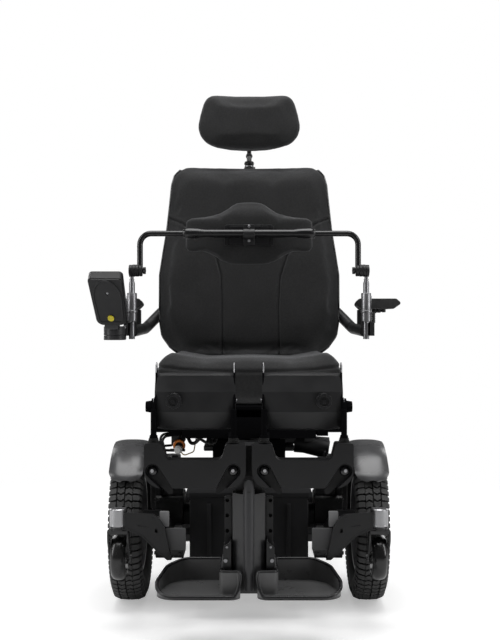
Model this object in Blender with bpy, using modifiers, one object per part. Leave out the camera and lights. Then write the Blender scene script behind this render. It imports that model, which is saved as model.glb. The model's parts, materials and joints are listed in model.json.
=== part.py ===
"""Standing wheelchair, front-wheel drive, seated pose. Metres, +Z up, the user faces -Y, so +X is their left.

Every size below is given about the drive axle's line, y = 0, and AXLE_Y moves the whole chair so that its
origin is the middle of its footprint. Left pieces are modelled, and right ones are their mirror images."""

import math

import bmesh
import bpy
from mathutils import Matrix, Vector

for old in list(bpy.data.objects):
    bpy.data.objects.remove(old, do_unlink=True)

# Clearances
GAP = 0.0003
FIT = 0.0006
SOFT_GAP = 0.0022

# Sides of round pieces: screws, pins and rods, bent tubes, broad bosses and bores, wheels. Corners up to SMALL_CORNER
# are cut by one face.
SLIM = 6
ROUND = 8
TUBE = 8
BROAD = 12
WHEEL = 20
SMALL_CORNER = 0.0145
BEND_STEPS = 2
AXLE_Y = -0.1025

# Drive wheels and casters
DRIVE_X = 0.272
DRIVE_R = 0.175
DRIVE_W = 0.072
RIM_R = 0.113
HUB_R = 0.030
AXLE_R = 0.0125
GEAR_X = (0.150, 0.214)
GEAR_Y = (-0.052, 0.052)
GEAR_TOP = 0.070
BRACKET_X = (0.196, 0.202)
CASTER_X = 0.215
CASTER_Y = 0.500
CASTER_R = 0.100
CASTER_W = 0.050
CASTER_TRAIL = 0.050
STEM_R = 0.010
STEM_LENGTH = 0.042
SUPPORT_X = 0.272
SUPPORT_Y = -0.265
SUPPORT_R = 0.049
SUPPORT_W = 0.031
SUPPORT_Z = 0.148
SUPPORT_TRAIL = 0.025
SUPPORT_HEAD_R = 0.01825
SUPPORT_HEAD = (0.212, 0.254)
ARM_PIVOT = (-0.075, 0.165)
ARM_PIN_R = 0.0072

# Base
TUB_X = 0.128
TUB_Y = (-0.190, 0.330)
TUB_Z = (0.075, 0.258)
TUB_WALL = 0.004
SHROUD_WALL = 0.012
SHROUD_TOP = 0.283
ARM_DROP = 0.033
ARM_DEEP = 0.032
ARM_SPARE = 0.001
CROWN_GAP = 0.005
BATTERY = (0.240, 0.170, 0.165)
LIFT_Y = 0.075
LIFT_OUTER = 0.080
LIFT_INNER = 0.066
LIFT_TOP = 0.325
HEAD_Z = 0.338
HEAD_THICK = 0.012

# Seat: tilt frame, seat frame and their pivots, as (y, z)
TILT_PIVOT = (0.300, 0.385)
TILT_PIN_R = 0.0072
STAND_PIVOT = (-0.135, 0.455)
LEG_PIVOT = (-0.155, 0.362)
BACK_PIVOT = (0.412, 0.470)
TILT_RAIL_X = (0.150, 0.175)
TILT_RAIL_Z = (0.390, 0.420)
SEAT_RAIL_X = (0.178, 0.200)
SEAT_RAIL_Z = (0.424, 0.4445)
PAN_THICK = 0.010
PANEL_Z = (0.385, 0.431)
CUSHION_X = 0.2145
CUSHION_Y = (-0.100, 0.380)
CUSHION_TOP = 0.557

# Back and headrest
POST_X = 0.140
POST_R = 0.0125
POST_Y = 0.500
SHELL_Y = 0.468
SHELL_BOW = 0.036
SHELL_WALL = 0.006
BACK_Z = (0.541, 1.063)
BACK_FRONT_Y = 0.404
HEAD_POST_R = 0.007
HEAD_BALL = (0.497, 1.185)
HEAD_BALL_R = 0.013

# Arms, chest bar and joystick
ARM_HINGE = (0.500, 0.664)
ARM_HINGE_R = 0.0072
ARM_TUBE_R = 0.0145
ARM_X = 0.282
PAD_X = 0.314
PAD_W = 0.1189
PAD_Y = (0.112, 0.405)
PAD_Z = (0.673, 0.699)
CHEST_POST_Y = 0.080
CHEST_POST_R = 0.0072
RECEIVER_R = 0.0125
RECEIVER_Z = (0.598, 0.711)
BAR_PIVOT_Z = 0.765
BAR_X = 0.2625
BAR_R = 0.007
BAR_Z = 0.858
BAR_BEND = 0.027
DRUM_R = 0.0145
STICK_X = -0.330
STICK_Y = 0.005
STICK_Z = 0.6955
STICK_BOX = (0.081, 0.124, 0.042)
STICK_TILT = math.radians(-60)
SWING_X = 0.3225
SWING_Y = 0.075
SWING_R = 0.0262

# Leg column, footplates and knee supports
COLUMN_X = 0.033
COLUMN_Y = (-0.415, -0.3535)
COLUMN_Z = (0.115, 0.306)
STRIP_X = (COLUMN_X + 0.0015, COLUMN_X + 0.0155)
STRIP_Z = (0.128, 0.300)
CARRIER_X = (0.0105, 0.2035)
CARRIER_Y = (-0.420, -0.3725)
CARRIER_Z = (0.319, 0.406)
SOCKET_X = (0.030, 0.187)
SOCKET_Y = -0.395
UPRIGHT_R = 0.006
SHELL_X = (0.0285, 0.1855)
KNEE_Z = (0.427, 0.541)
KNEE_Y = -0.392
KNOB_X = 0.1476
FOOT_X = (0.013, 0.184)
FOOT_Y = (-0.445, -0.290)
FOOT_Z = 0.106
HEEL_Z = 0.163
FOOT_THICK = 0.014
CHEEK_Z = (0.152, 0.212)
FOOT_HINGE = (COLUMN_X + 0.0125, 0.174)
FOOT_PIN_R = 0.004

PARTS = bpy.data.collections.new("standing_wheelchair")
bpy.context.scene.collection.children.link(PARTS)
MATERIALS = {}
JOINTS = {}


def material(name, colour, roughness, metallic=0.0):
    made = bpy.data.materials.new(name)
    made.use_nodes = True
    shader = made.node_tree.nodes["Principled BSDF"]
    shader.inputs["Base Color"].default_value = (*colour, 1)
    shader.inputs["Roughness"].default_value = roughness
    shader.inputs["Metallic"].default_value = metallic
    MATERIALS[name] = made


def make_materials():
    material("black_coat", (0.022, 0.022, 0.023), 0.5)
    material("grey_coat", (0.06, 0.06, 0.062), 0.45, 0.3)
    material("black_plastic", (0.018, 0.018, 0.019), 0.55)
    material("black_rubber", (0.014, 0.014, 0.014), 0.75)
    material("black_fabric", (0.012, 0.012, 0.012), 0.9)
    material("satin_steel", (0.42, 0.42, 0.43), 0.35, 1.0)


def joint_empty(name, place, parent=None):
    """An empty on a joint's axis, at a place given about the drive axle."""
    empty = bpy.data.objects.new(f"{name}_axis", None)
    PARTS.objects.link(empty)
    above = JOINTS[parent] if parent else None
    empty["place"] = place
    origin = Vector(above["place"]) if above else Vector((0, -AXLE_Y, 0))
    empty.parent = above
    empty.location = Vector(place) - origin
    JOINTS[name] = empty


def bm_object(bm, name="piece"):
    bm.normal_update()
    bmesh.ops.recalc_face_normals(bm, faces=bm.faces)
    mesh = bpy.data.meshes.new(name)
    bm.to_mesh(mesh)
    bm.free()
    obj = bpy.data.objects.new(name, mesh)
    PARTS.objects.link(obj)
    return obj


def applied(obj, weld=True):
    """The object as its modifiers or its curve shape it, made one plain mesh in world space."""
    bpy.context.view_layer.update()
    graph = bpy.context.evaluated_depsgraph_get()
    mesh = bpy.data.meshes.new_from_object(obj.evaluated_get(graph))
    mesh.transform(obj.matrix_world)
    bm = bmesh.new()
    bm.from_mesh(mesh)
    if weld:
        bmesh.ops.remove_doubles(bm, verts=bm.verts, dist=1e-6)
    bpy.data.meshes.remove(mesh)
    bpy.data.objects.remove(obj, do_unlink=True)
    return bm_object(bm)


def box(x, y, z, edge=0.0, segments=1):
    """A box between two values on each axis, its edges rounded by edge."""
    bm = bmesh.new()
    bmesh.ops.create_cube(bm, size=1)
    for vert in bm.verts:
        vert.co = [low + (high - low) * (c + 0.5) for c, (low, high) in zip(vert.co, (x, y, z))]
    if edge:
        bmesh.ops.bevel(bm, geom=bm.edges[:], offset=edge, segments=segments, profile=0.5, affect="EDGES")
    return bm_object(bm)


def both(half):
    return (-half, half)


def about(middle, half):
    return (middle - half, middle + half)


def rod(start, end, radius, sides=ROUND, end_radius=None):
    """A round bar, or a cone, between two points."""
    start, end = Vector(start), Vector(end)
    bm = bmesh.new()
    bmesh.ops.create_cone(
        bm,
        cap_ends=True,
        segments=sides,
        radius1=radius,
        radius2=radius if end_radius is None else end_radius,
        depth=(end - start).length,
    )
    turn = (end - start).to_track_quat("Z", "Y").to_matrix().to_4x4()
    bm.transform(Matrix.Translation((start + end) / 2) @ turn)
    return bm_object(bm)


def ball(centre, radius, sides=ROUND):
    bm = bmesh.new()
    bmesh.ops.create_uvsphere(bm, u_segments=sides, v_segments=sides // 2, radius=radius)
    bm.transform(Matrix.Translation(centre))
    return bm_object(bm)


AXES = {
    "X": Matrix(((0, 0, 1), (1, 0, 0), (0, 1, 0))).to_4x4(),
    "Y": Matrix(((1, 0, 0), (0, 0, -1), (0, 1, 0))).to_4x4(),
    "Z": Matrix.Identity(4),
}


def rounded(corners, steps=2):
    """A flat outline through corners (a, b, radius), each turned by an arc."""
    points = []
    for i, (a, b, radius) in enumerate(corners):
        here = Vector((a, b))
        if not radius:
            points.append(here)
            continue
        back = (Vector(corners[i - 1][:2]) - here).normalized()
        ahead = (Vector(corners[(i + 1) % len(corners)][:2]) - here).normalized()
        half = math.acos(max(-1, min(1, back.dot(ahead)))) / 2
        centre = here + (back + ahead).normalized() * radius / math.sin(half)
        first = here + back * radius / math.tan(half) - centre
        last = here + ahead * radius / math.tan(half) - centre
        start = math.atan2(first.y, first.x)
        sweep = math.remainder(math.atan2(last.y, last.x) - start, math.tau)
        turns = steps if radius > SMALL_CORNER else 1
        for k in range(turns + 1):
            angle = start + sweep * k / turns
            points.append(centre + Vector((math.cos(angle), math.sin(angle))) * radius)
    return points


def arc(centre, radius, start, end, steps):
    """Points along an arc, its angles in degrees."""
    angles = [math.radians(start + (end - start) * k / steps) for k in range(steps + 1)]
    return [Vector((centre[0] + radius * math.cos(a), centre[1] + radius * math.sin(a))) for a in angles]


def flat(outlines, span, axis, edge=0.0):
    """Outlines, the first with the others as holes, made as thick as span along the axis."""
    curve = bpy.data.curves.new("outline", "CURVE")
    curve.dimensions = "2D"
    curve.fill_mode = "BOTH"
    curve.extrude = (span[1] - span[0]) / 2 - edge
    curve.bevel_depth = edge
    curve.bevel_resolution = 0
    curve.offset = -edge
    for outline in outlines:
        spline = curve.splines.new("POLY")
        spline.points.add(len(outline) - 1)
        for point, (a, b) in zip(spline.points, outline):
            point.co = (a, b, 0, 1)
        spline.use_cyclic_u = True
    obj = bpy.data.objects.new("outline", curve)
    PARTS.objects.link(obj)
    middle = sum(span) / 2 * (-1 if axis == "Y" else 1)
    obj.matrix_world = AXES[axis] @ Matrix.Translation((0, 0, middle))
    return applied(obj)


def turned(profile, axis, centre, steps=24, closed=False):
    """A profile of (radius, along) turned about an axis through centre."""
    bm = bmesh.new()
    verts = [bm.verts.new((radius, 0, along)) for radius, along in profile]
    for first, second in zip(verts, verts[1:]):
        bm.edges.new((first, second))
    if closed:
        bm.edges.new((verts[-1], verts[0]))
    mesh = bpy.data.meshes.new("profile")
    bm.to_mesh(mesh)
    bm.free()
    obj = bpy.data.objects.new("profile", mesh)
    PARTS.objects.link(obj)
    screw = obj.modifiers.new("Screw", "SCREW")
    screw.steps = screw.render_steps = steps
    screw.use_merge_vertices = True
    screw.merge_threshold = 0.00001
    obj.matrix_world = Matrix.Translation(centre) @ AXES[axis]
    return applied(obj)


def tube(points, radius, sides=TUBE, bends=()):
    """A round tube along points, with corner i turned by an arc of radius bends[i]."""
    path = []
    for i, point in enumerate(points):
        here = Vector(point)
        bend = bends[i] if i < len(bends) else 0
        if not bend:
            path.append(here)
            continue
        back = (Vector(points[i - 1]) - here).normalized()
        ahead = (Vector(points[i + 1]) - here).normalized()
        half = back.angle(ahead) / 2
        centre = here + (back + ahead).normalized() * bend / math.sin(half)
        first = (here + back * bend / math.tan(half) - centre).normalized()
        last = (here + ahead * bend / math.tan(half) - centre).normalized()
        for k in range(BEND_STEPS + 1):
            path.append(centre + first.slerp(last, k / BEND_STEPS) * bend)
    curve = bpy.data.curves.new("tube", "CURVE")
    curve.dimensions = "3D"
    curve.bevel_depth = radius
    curve.bevel_resolution = (sides - 4) // 2
    curve.use_fill_caps = True
    spline = curve.splines.new("POLY")
    spline.points.add(len(path) - 1)
    for point, co in zip(spline.points, path):
        point.co = (*co, 1)
    obj = bpy.data.objects.new("tube", curve)
    PARTS.objects.link(obj)
    return applied(obj)


def boolean(obj, others, operation):
    for i, other in enumerate(others):
        modifier = obj.modifiers.new(f"{operation} {i}", "BOOLEAN")
        modifier.operation = operation
        modifier.solver = "EXACT"
        modifier.object = other
    made = applied(obj, weld=False)
    for other in others:
        bpy.data.objects.remove(other, do_unlink=True)
    return made


def joined(first, *others):
    return boolean(first, others, "UNION")


def cut(first, *others):
    return boolean(first, others, "DIFFERENCE")


def mirrored(obj):
    """A copy of the mesh on the other side of the chair."""
    bm = bmesh.new()
    bm.from_mesh(obj.data)
    bm.transform(Matrix.Scale(-1, 4, (1, 0, 0)))
    return bm_object(bm)


def finish(obj, name, finish_name, joint):
    """Names a piece, gives it its material and hangs it on its joint's empty."""
    obj.name = obj.data.name = name
    empty = JOINTS[joint]
    obj.data.transform(Matrix.Translation(-Vector(empty["place"])))
    obj.parent = empty
    obj.data.materials.clear()
    obj.data.materials.append(MATERIALS[finish_name])
    obj.data.shade_smooth()
    obj.data.set_sharp_from_angle(angle=math.radians(35))


def pair(left, name, finish_name, joint, right_joint=None):
    """The left piece and its mirror image, each on its own side's joint."""
    right = mirrored(left)
    finish(left, f"{name}_left", finish_name, joint)
    finish(right, f"{name}_right", finish_name, right_joint or joint)


def blend(table, at):
    """A smooth value between the (place, value) pairs of a table."""
    if at <= table[0][0]:
        return table[0][1]
    for (a, low), (b, high) in zip(table, table[1:]):
        if at <= b:
            t = (at - a) / (b - a)
            return low + (high - low) * t * t * (3 - 2 * t)
    return table[-1][1]


def padded_form(columns, rows, place):
    """A soft closed form: a grid for its face and one for its back, from place(u, v, back)."""
    bm = bmesh.new()
    bmesh.ops.create_grid(bm, x_segments=columns, y_segments=rows, size=1)
    front = [(vert, vert.co.copy()) for vert in bm.verts]
    made = bmesh.ops.extrude_face_region(bm, geom=bm.faces[:])
    behind = [(v, v.co.copy()) for v in made["geom"] if isinstance(v, bmesh.types.BMVert)]
    for vert, co in front:
        vert.co = place(co.x, co.y, False)
    for vert, co in behind:
        vert.co = place(co.x, co.y, True)
    return bm_object(bm)


def joint_tree():
    """Every joint's empty, under the one that carries it."""
    joint_empty("chassis", (0, 0, 0))
    for side, sign in (("left", 1), ("right", -1)):
        joint_empty(f"drive_{side}", (sign * DRIVE_X, 0, DRIVE_R), "chassis")
        joint_empty(f"caster_{side}", (sign * CASTER_X, CASTER_Y, CASTER_R), "chassis")
        wheel_y = CASTER_Y + CASTER_TRAIL
        joint_empty(f"caster_wheel_{side}", (sign * CASTER_X, wheel_y, CASTER_R), f"caster_{side}")
        joint_empty(f"support_arm_{side}", (sign * SUPPORT_X, *ARM_PIVOT), "chassis")
        joint_empty(f"support_fork_{side}", (sign * SUPPORT_X, SUPPORT_Y, SUPPORT_Z), f"support_arm_{side}")
        wheel_y = SUPPORT_Y + SUPPORT_TRAIL
        joint_empty(f"support_wheel_{side}", (sign * SUPPORT_X, wheel_y, SUPPORT_Z), f"support_fork_{side}")
    joint_empty("lift", (0, LIFT_Y, HEAD_Z), "chassis")
    joint_empty("tilt", (0, *TILT_PIVOT), "lift")
    joint_empty("stand", (0, *STAND_PIVOT), "tilt")
    joint_empty("back_carrier", (0, *BACK_PIVOT), "stand")
    joint_empty("recline", (0, *BACK_PIVOT), "back_carrier")
    joint_empty("head_post", (0, SHELL_Y, BACK_Z[1]), "recline")
    joint_empty("head_tilt", (0, *HEAD_BALL), "head_post")
    for side, sign in (("left", 1), ("right", -1)):
        joint_empty(f"armrest_{side}", (sign * ARM_X, *ARM_HINGE), "recline")
        joint_empty(f"chest_post_{side}", (sign * ARM_X, CHEST_POST_Y, RECEIVER_Z[1]), f"armrest_{side}")
    joint_empty("chest_bar", (0, CHEST_POST_Y, BAR_PIVOT_Z), "chest_post_right")
    joint_empty("joystick", (-SWING_X, SWING_Y, RECEIVER_Z[0]), "armrest_right")
    joint_empty("stick", lever_pivot(), "joystick")
    joint_empty("legrest", (0, *LEG_PIVOT), "tilt")
    joint_empty("leg_slide", (0, COLUMN_Y[1], STRIP_Z[0]), "legrest")
    for side, sign in (("left", 1), ("right", -1)):
        hinge = (sign * FOOT_HINGE[0], FOOT_Y[1], FOOT_HINGE[1])
        joint_empty(f"footplate_{side}", hinge, "leg_slide")
        joint_empty(f"knee_{side}", (0, SOCKET_Y, CARRIER_Z[1]), "legrest")
        knob = (sign * KNOB_X, KNEE_Y, sum(KNEE_Z) / 2)
        joint_empty(f"knee_knob_{side}", knob, f"knee_{side}")


def caster_arm(sign, spare=0.0):
    """A rear arm from the tub's upper edge out to its caster's boss, which rises or drops to the fork's crown."""
    root = TUB_Z[1] - ARM_DROP
    reach = 0.026
    corners = [
        (sign * (TUB_X - 0.001), TUB_Y[1] - 0.085 - 2 * spare, 0),
        (sign * (CASTER_X + 0.022 + spare), CASTER_Y - 0.045, 0.02),
        (sign * (CASTER_X + 0.022 + spare), CASTER_Y + reach, 0.021),
        (sign * (CASTER_X - reach - spare), CASTER_Y + reach, 0.021),
        (sign * (TUB_X - 0.030 - spare), TUB_Y[1] - 0.001, 0),
    ]
    arm = flat([rounded(corners)], (root - spare, root + ARM_DEEP + spare), "Z")
    rise = fork_crown(CASTER_R, CASTER_R)[1] + CROWN_GAP - root
    start, end = TUB_Y[1] - 0.085, CASTER_Y - 0.045
    for vert in arm.data.vertices:
        vert.co.z += rise * max(0, min(1, (vert.co.y - start) / (end - start)))
    return arm


def base_frame():
    """The welded battery tub with the rear caster arms, the support arms' pins and the axle plates."""
    wall = TUB_WALL
    tub = box(both(TUB_X), TUB_Y, TUB_Z, 0.004)
    crown_top = fork_crown(CASTER_R, CASTER_R)[1]
    added = []
    for sign in (1, -1):
        added.append(caster_arm(sign))
        stem = (sign * CASTER_X, CASTER_Y)
        added.append(rod((*stem, crown_top + 0.002), (*stem, crown_top + 0.050), 0.024, ROUND))
        pin_y, pin_z = ARM_PIVOT
        boss_x = TUB_X + 0.022
        added.append(
            rod((sign * (TUB_X - 0.002), pin_y, pin_z), (sign * boss_x, pin_y, pin_z), 0.020, ROUND)
        )
        added.append(rod((sign * TUB_X, pin_y, pin_z), (sign * 0.205, pin_y, pin_z), ARM_PIN_R, ROUND))
    tub = joined(tub, *added)
    stem_space = STEM_R + FIT
    stems = [(s * CASTER_X, CASTER_Y) for s in (1, -1)]
    bores = [
        rod((*stem, crown_top - 0.02), (*stem, crown_top + STEM_LENGTH + GAP), stem_space, BROAD)
        for stem in stems
    ]
    inside = box(both(TUB_X - wall), (TUB_Y[0] + wall, TUB_Y[1] - wall), (TUB_Z[0] + wall, 1))
    finish(cut(tub, inside, *bores), "base_frame", "black_coat", "chassis")


def base_shroud():
    """The moulded cover over the batteries and down the front, round the lift column."""
    top = box(
        both(TUB_X + SHROUD_WALL - 0.004),
        (TUB_Y[0] - SHROUD_WALL - GAP, TUB_Y[1] + 0.010),
        (TUB_Z[1] + GAP, SHROUD_TOP),
        0.008,
    )
    front_y = (TUB_Y[0] - SHROUD_WALL - GAP, TUB_Y[0] - GAP)
    join_z = (TUB_Z[1] + SHROUD_TOP) / 2
    outline = rounded([(-0.126, 0.10, 0.03), (0.126, 0.10, 0.03), (0.126, join_z, 0), (-0.126, join_z, 0)])
    skirt = flat([outline], (front_y[0] + 0.001, front_y[1]), "Y")
    ribs = [
        box(about(x, 0.004), (front_y[0] - 0.005, front_y[0] + 0.002), (0.12, TUB_Z[1] - 0.006))
        for x in both(0.085)
    ]
    hole = box(both(LIFT_OUTER / 2 + GAP), about(LIFT_Y, LIFT_OUTER / 2 + GAP), (0.2, 0.4))
    arms = [caster_arm(sign, ARM_SPARE) for sign in (1, -1)]
    finish(cut(joined(top, skirt, *ribs), hole, *arms), "base_shroud", "black_plastic", "chassis")


def batteries():
    """Two sealed batteries, before and behind the lift column, each with a lid line and two terminals."""
    wide, long, tall = BATTERY
    floor = TUB_Z[0] + TUB_WALL + GAP
    for name, middle in (("battery_front", -0.070), ("battery_rear", 0.215)):
        case = box(both(wide / 2), about(middle, long / 2), (floor, floor + tall - 0.030), 0.004)
        lid = box(
            both(wide / 2 + 0.002), about(middle, long / 2 + 0.002),
            (floor + tall - 0.031, floor + tall - 0.008), 0.004,
        )
        posts = [
            rod(
                (x, middle + long / 3, floor + tall - 0.010), (x, middle + long / 3, floor + tall), 0.009,
                SLIM,
            )
            for x in both(wide / 2 - 0.025)
        ]
        finish(joined(case, lid, *posts), name, "black_plastic", "chassis")


def power_module():
    """The finned motor controller on the back of the tub."""
    y = TUB_Y[1] + GAP
    body = box(both(0.075), (y, y + 0.030), (0.105, 0.225), 0.004)
    fins = [box(about(-0.060 + 0.015 * k, 0.002), (y + 0.028, y + 0.042), (0.112, 0.218)) for k in range(9)]
    finish(joined(body, *fins), "power_module", "black_plastic", "chassis")


def gearmotor():
    """The left gearbox with its motor lying rearwards and its axle out to the rim."""
    inner = TUB_X + GAP
    neck = rod((inner, 0, DRIVE_R), (GEAR_X[0] + 0.002, 0, DRIVE_R), 0.045, ROUND)
    gearbox = box(GEAR_X, GEAR_Y, (DRIVE_R - 0.075, DRIVE_R + GEAR_TOP), 0.008)
    motor = rod((0.170, 0.01, DRIVE_R), (0.170, 0.190, DRIVE_R), 0.040, BROAD)
    cap = rod((0.170, 0.188, DRIVE_R), (0.170, 0.205, DRIVE_R), 0.034, ROUND, 0.026)
    flange = rod((GEAR_X[1] - 0.002, 0, DRIVE_R), (0.224, 0, DRIVE_R), 0.036, ROUND)
    axle = rod((0.222, 0, DRIVE_R), (DRIVE_X + 0.018, 0, DRIVE_R), AXLE_R, ROUND)
    pair(joined(gearbox, neck, motor, cap, flange, axle), "gearmotor", "black_coat", "chassis")


def fender():
    """The tongue over the left drive tyre on two rods from a bracket that stands on the gear housing."""
    inner_r = DRIVE_R + 0.010
    wall = 0.004
    band = arc((0, DRIVE_R), inner_r, 62, 141, 10) + arc((0, DRIVE_R), inner_r + wall, 141, 62, 10)
    half = 0.0375
    span = (DRIVE_X - half, DRIVE_X + half)
    band = flat([band], span, "X")
    tip = DRIVE_R + (inner_r + wall) * math.sin(math.radians(139))
    trim = rounded([(span[0], tip, 0.030), (span[1], tip, 0.030), (span[1], 0.5, 0), (span[0], 0.5, 0)], 5)
    tongue = boolean(band, [flat([trim], (-0.3, 0.2), "Y")], "INTERSECT")
    rods, spots = [], []
    for angle in (112, 128):
        turn = math.radians(angle)
        spot = ((inner_r + 0.0015) * math.cos(turn), DRIVE_R + (inner_r + 0.0015) * math.sin(turn))
        spots.append(spot)
        rods.append(rod((BRACKET_X[0] + 0.001, *spot), (DRIVE_X - 0.010, *spot), 0.0042, ROUND))
    foot = DRIVE_R + GEAR_TOP + GAP
    (high_y, high_z), (low_y, low_z) = spots
    outline = rounded([
        (GEAR_Y[0] + 0.010, foot, 0), (low_y - 0.009, low_z - 0.006, 0.006),
        (low_y - 0.004, low_z + 0.008, 0.006),
        (high_y + 0.006, high_z + 0.009, 0.006), (GEAR_Y[1] - 0.030, foot, 0),
    ])
    bracket = flat([outline], BRACKET_X, "X")
    pair(joined(tongue, *rods, bracket), "fender", "grey_coat", "chassis")


def drive_wheel():
    """The left tyre, round-shouldered with circumferential grooves, on a dished five-spoke rim."""
    half = DRIVE_W / 2
    centre = (DRIVE_X, 0, DRIVE_R)
    tread = DRIVE_R
    crown = [(tread - 0.005, half - 0.006), (tread, half - 0.019)]
    outside = [(RIM_R, half - 0.014), (RIM_R + 0.018, half), (tread - 0.017, half - 0.001)]
    upper = outside + crown
    lower = [(r, -a) for r, a in reversed(upper)]
    tyre = turned(upper + lower, "X", centre, WHEEL, True)
    pair(tyre, "drive_tyre", "black_rubber", "drive_left", "drive_right")
    seat = RIM_R - GAP
    barrel = [
        (seat, half - 0.012),
        (seat, -half + 0.010),
        (seat - 0.010, -half + 0.010),
        (seat - 0.012, half - 0.028),
        (HUB_R, half - 0.024),
        (HUB_R, 0.000),
        (AXLE_R + FIT, 0.000),
        (AXLE_R + FIT, 0.018 + GAP),
        (0, 0.018 + GAP),
        (0, half - 0.009),
        (HUB_R, half - 0.016),
    ]
    rim = turned(barrel[::-1], "X", centre, WHEEL, True)
    windows = []
    for k in range(5):
        spin = math.tau * (k + 0.5) / 5
        inner, outer = 0.044, 0.088
        spread = [(inner, -0.30), (inner, 0.30), (outer, 0.38), (outer, -0.38)]
        points = [(r * math.cos(spin + a), DRIVE_R + r * math.sin(spin + a)) for r, a in spread]
        windows.append(flat([points], (DRIVE_X + half - 0.034, DRIVE_X + half), "X"))
    pair(cut(rim, *windows), "drive_rim", "grey_coat", "drive_left", "drive_right")


def fork_crown(axle_z, wheel_r):
    """The underside and the top of a fork's crown, just over its wheel."""
    low = axle_z + wheel_r + 0.004
    return (low, low + wheel_r * 0.16)


def fork(x, y, axle_z, trail, wheel_r, wheel_w, stem_r, stem_top, sides):
    """A caster fork: stem, crown and two legs down to the axle."""
    crown_z = fork_crown(axle_z, wheel_r)
    clear = wheel_w / 2 + 0.003
    leg = max(0.004, wheel_w * 0.11)
    width = clear + leg
    length = max(stem_r * 2, leg * 3)
    pieces = [rod((x, y, crown_z[0] + 0.001), (x, y, stem_top), stem_r, sides)]
    end = leg * 2.1
    outline = [
        (y + trail + end, axle_z, 0),
        (y + length * 0.6, crown_z[1], 0.003),
        (y - length, crown_z[1], 0.003),
        (y - length, crown_z[0] - wheel_r * 0.3, 0.003),
        (y + trail - end, axle_z, 0),
    ]
    side = rounded(outline, 2)[:-1] + arc((y + trail, axle_z), end, 180, 360, 4)[:-1]
    for sign in (1, -1):
        span = sorted((x + sign * clear, x + sign * width))
        pieces.append(flat([side], span, "X"))
    pieces.append(box(about(x, width - 0.0005), (y - length + 0.001, y + length * 0.6 - 0.001), crown_z))
    pieces.append(
        rod(
            (x - width - 0.003, y + trail, axle_z), (x + width + 0.003, y + trail, axle_z), stem_r * 0.55,
            ROUND,
        )
    )
    return joined(*pieces)


def caster_wheel(x, y, z, radius, width, bore, steps):
    """A small wheel: round tread, web and hub with a bore for its axle."""
    half = width / 2
    section = [
        (bore, half),
        (bore * 2.6, half),
        (bore * 2.8, half * 0.45),
        (radius * 0.68, half * 0.45),
        (radius * 0.76, half),
        (radius, half * 0.35),
    ]
    section += [(r, -a) for r, a in reversed(section)]
    return turned(section, "X", (x, y, z), steps, True)


def rear_casters():
    stem_top = fork_crown(CASTER_R, CASTER_R)[1] + STEM_LENGTH
    left = fork(CASTER_X, CASTER_Y, CASTER_R, CASTER_TRAIL, CASTER_R, CASTER_W, STEM_R, stem_top, BROAD)
    pair(left, "rear_fork", "black_coat", "caster_left", "caster_right")
    wheel = caster_wheel(CASTER_X, CASTER_Y + CASTER_TRAIL, CASTER_R, CASTER_R, CASTER_W, 0.0055 + FIT, 14)
    pair(wheel, "rear_wheel", "black_rubber", "caster_wheel_left", "caster_wheel_right")


def support_arms():
    """The left arm that comes down beside the footplates when the chair stands, with its caster."""
    pin_y, pin_z = ARM_PIVOT
    hub = rod((TUB_X + 0.022 + FIT, pin_y, pin_z), (0.200, pin_y, pin_z), 0.021, BROAD)
    beam = [
        (pin_y, pin_z + 0.019, 0), (SUPPORT_Y + 0.010, 0.236, 0), (SUPPORT_Y + 0.006, 0.166, 0),
        (pin_y, pin_z - 0.019, 0),
    ]
    beam = flat([rounded(beam)], (0.168, 0.194), "X")
    face = [
        (SUPPORT_X, SUPPORT_HEAD[1] - 0.004, 0),
        (0.2018, 0.2430, 0.006),
        (0.1851, 0.2320, 0.006),
        (0.1747, 0.2134, 0.004),
        (0.1650, 0.1510, 0.003),
        (0.1740, 0.1500, 0),
        (0.1915, 0.1860, 0),
        (0.1990, 0.2040, 0),
        (SUPPORT_X, SUPPORT_HEAD[0] + 0.001, 0),
    ]
    gusset = flat([rounded(face, 2)], (SUPPORT_Y - 0.012, SUPPORT_Y + 0.014), "Y")
    web = [
        (0.2290, 0.2350, 0), (0.1900, 0.2350, 0), (0.1740, 0.1450, 0), (0.1820, 0.1430, 0),
        (0.2290, 0.1850, 0),
    ]
    plates = [
        flat([rounded(web)], (SUPPORT_Y + 0.081, SUPPORT_Y + 0.087), "Y"),
        box((0.1330, 0.1750), (SUPPORT_Y + 0.004, SUPPORT_Y + 0.0075), (0.1665, 0.2134)),
        box((0.1660, 0.1865), (SUPPORT_Y + 0.0045, SUPPORT_Y + 0.008), (0.2100, 0.2480)),
    ]
    low, high = SUPPORT_HEAD
    head = rod((SUPPORT_X, SUPPORT_Y, low), (SUPPORT_X, SUPPORT_Y, high), SUPPORT_HEAD_R, BROAD)
    arm = joined(hub, beam, gusset, head, *plates)
    pin = rod((0.1, pin_y, pin_z), (0.3, pin_y, pin_z), ARM_PIN_R + FIT, ROUND)
    stem = rod((SUPPORT_X, SUPPORT_Y, low - 0.01), (SUPPORT_X, SUPPORT_Y, high - 0.006), 0.0065, ROUND)
    slot = [(0.182, 0.199, 0.003), (0.190, 0.203, 0.003), (0.189, 0.213, 0.003), (0.183, 0.211, 0.003)]
    slot = flat([rounded(slot, 2)], (SUPPORT_Y - 0.02, SUPPORT_Y - 0.006), "Y")
    pair(cut(arm, pin, stem, slot), "support_arm", "black_coat", "support_arm_left", "support_arm_right")
    left = fork(
        SUPPORT_X, SUPPORT_Y, SUPPORT_Z, SUPPORT_TRAIL, SUPPORT_R, SUPPORT_W, 0.0060, high - 0.0065, ROUND
    )
    pair(left, "support_fork", "black_coat", "support_fork_left", "support_fork_right")
    wheel = caster_wheel(
        SUPPORT_X, SUPPORT_Y + SUPPORT_TRAIL, SUPPORT_Z, SUPPORT_R, SUPPORT_W, 0.0033 + FIT, 12
    )
    pair(wheel, "support_wheel", "black_rubber", "support_wheel_left", "support_wheel_right")


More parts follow.
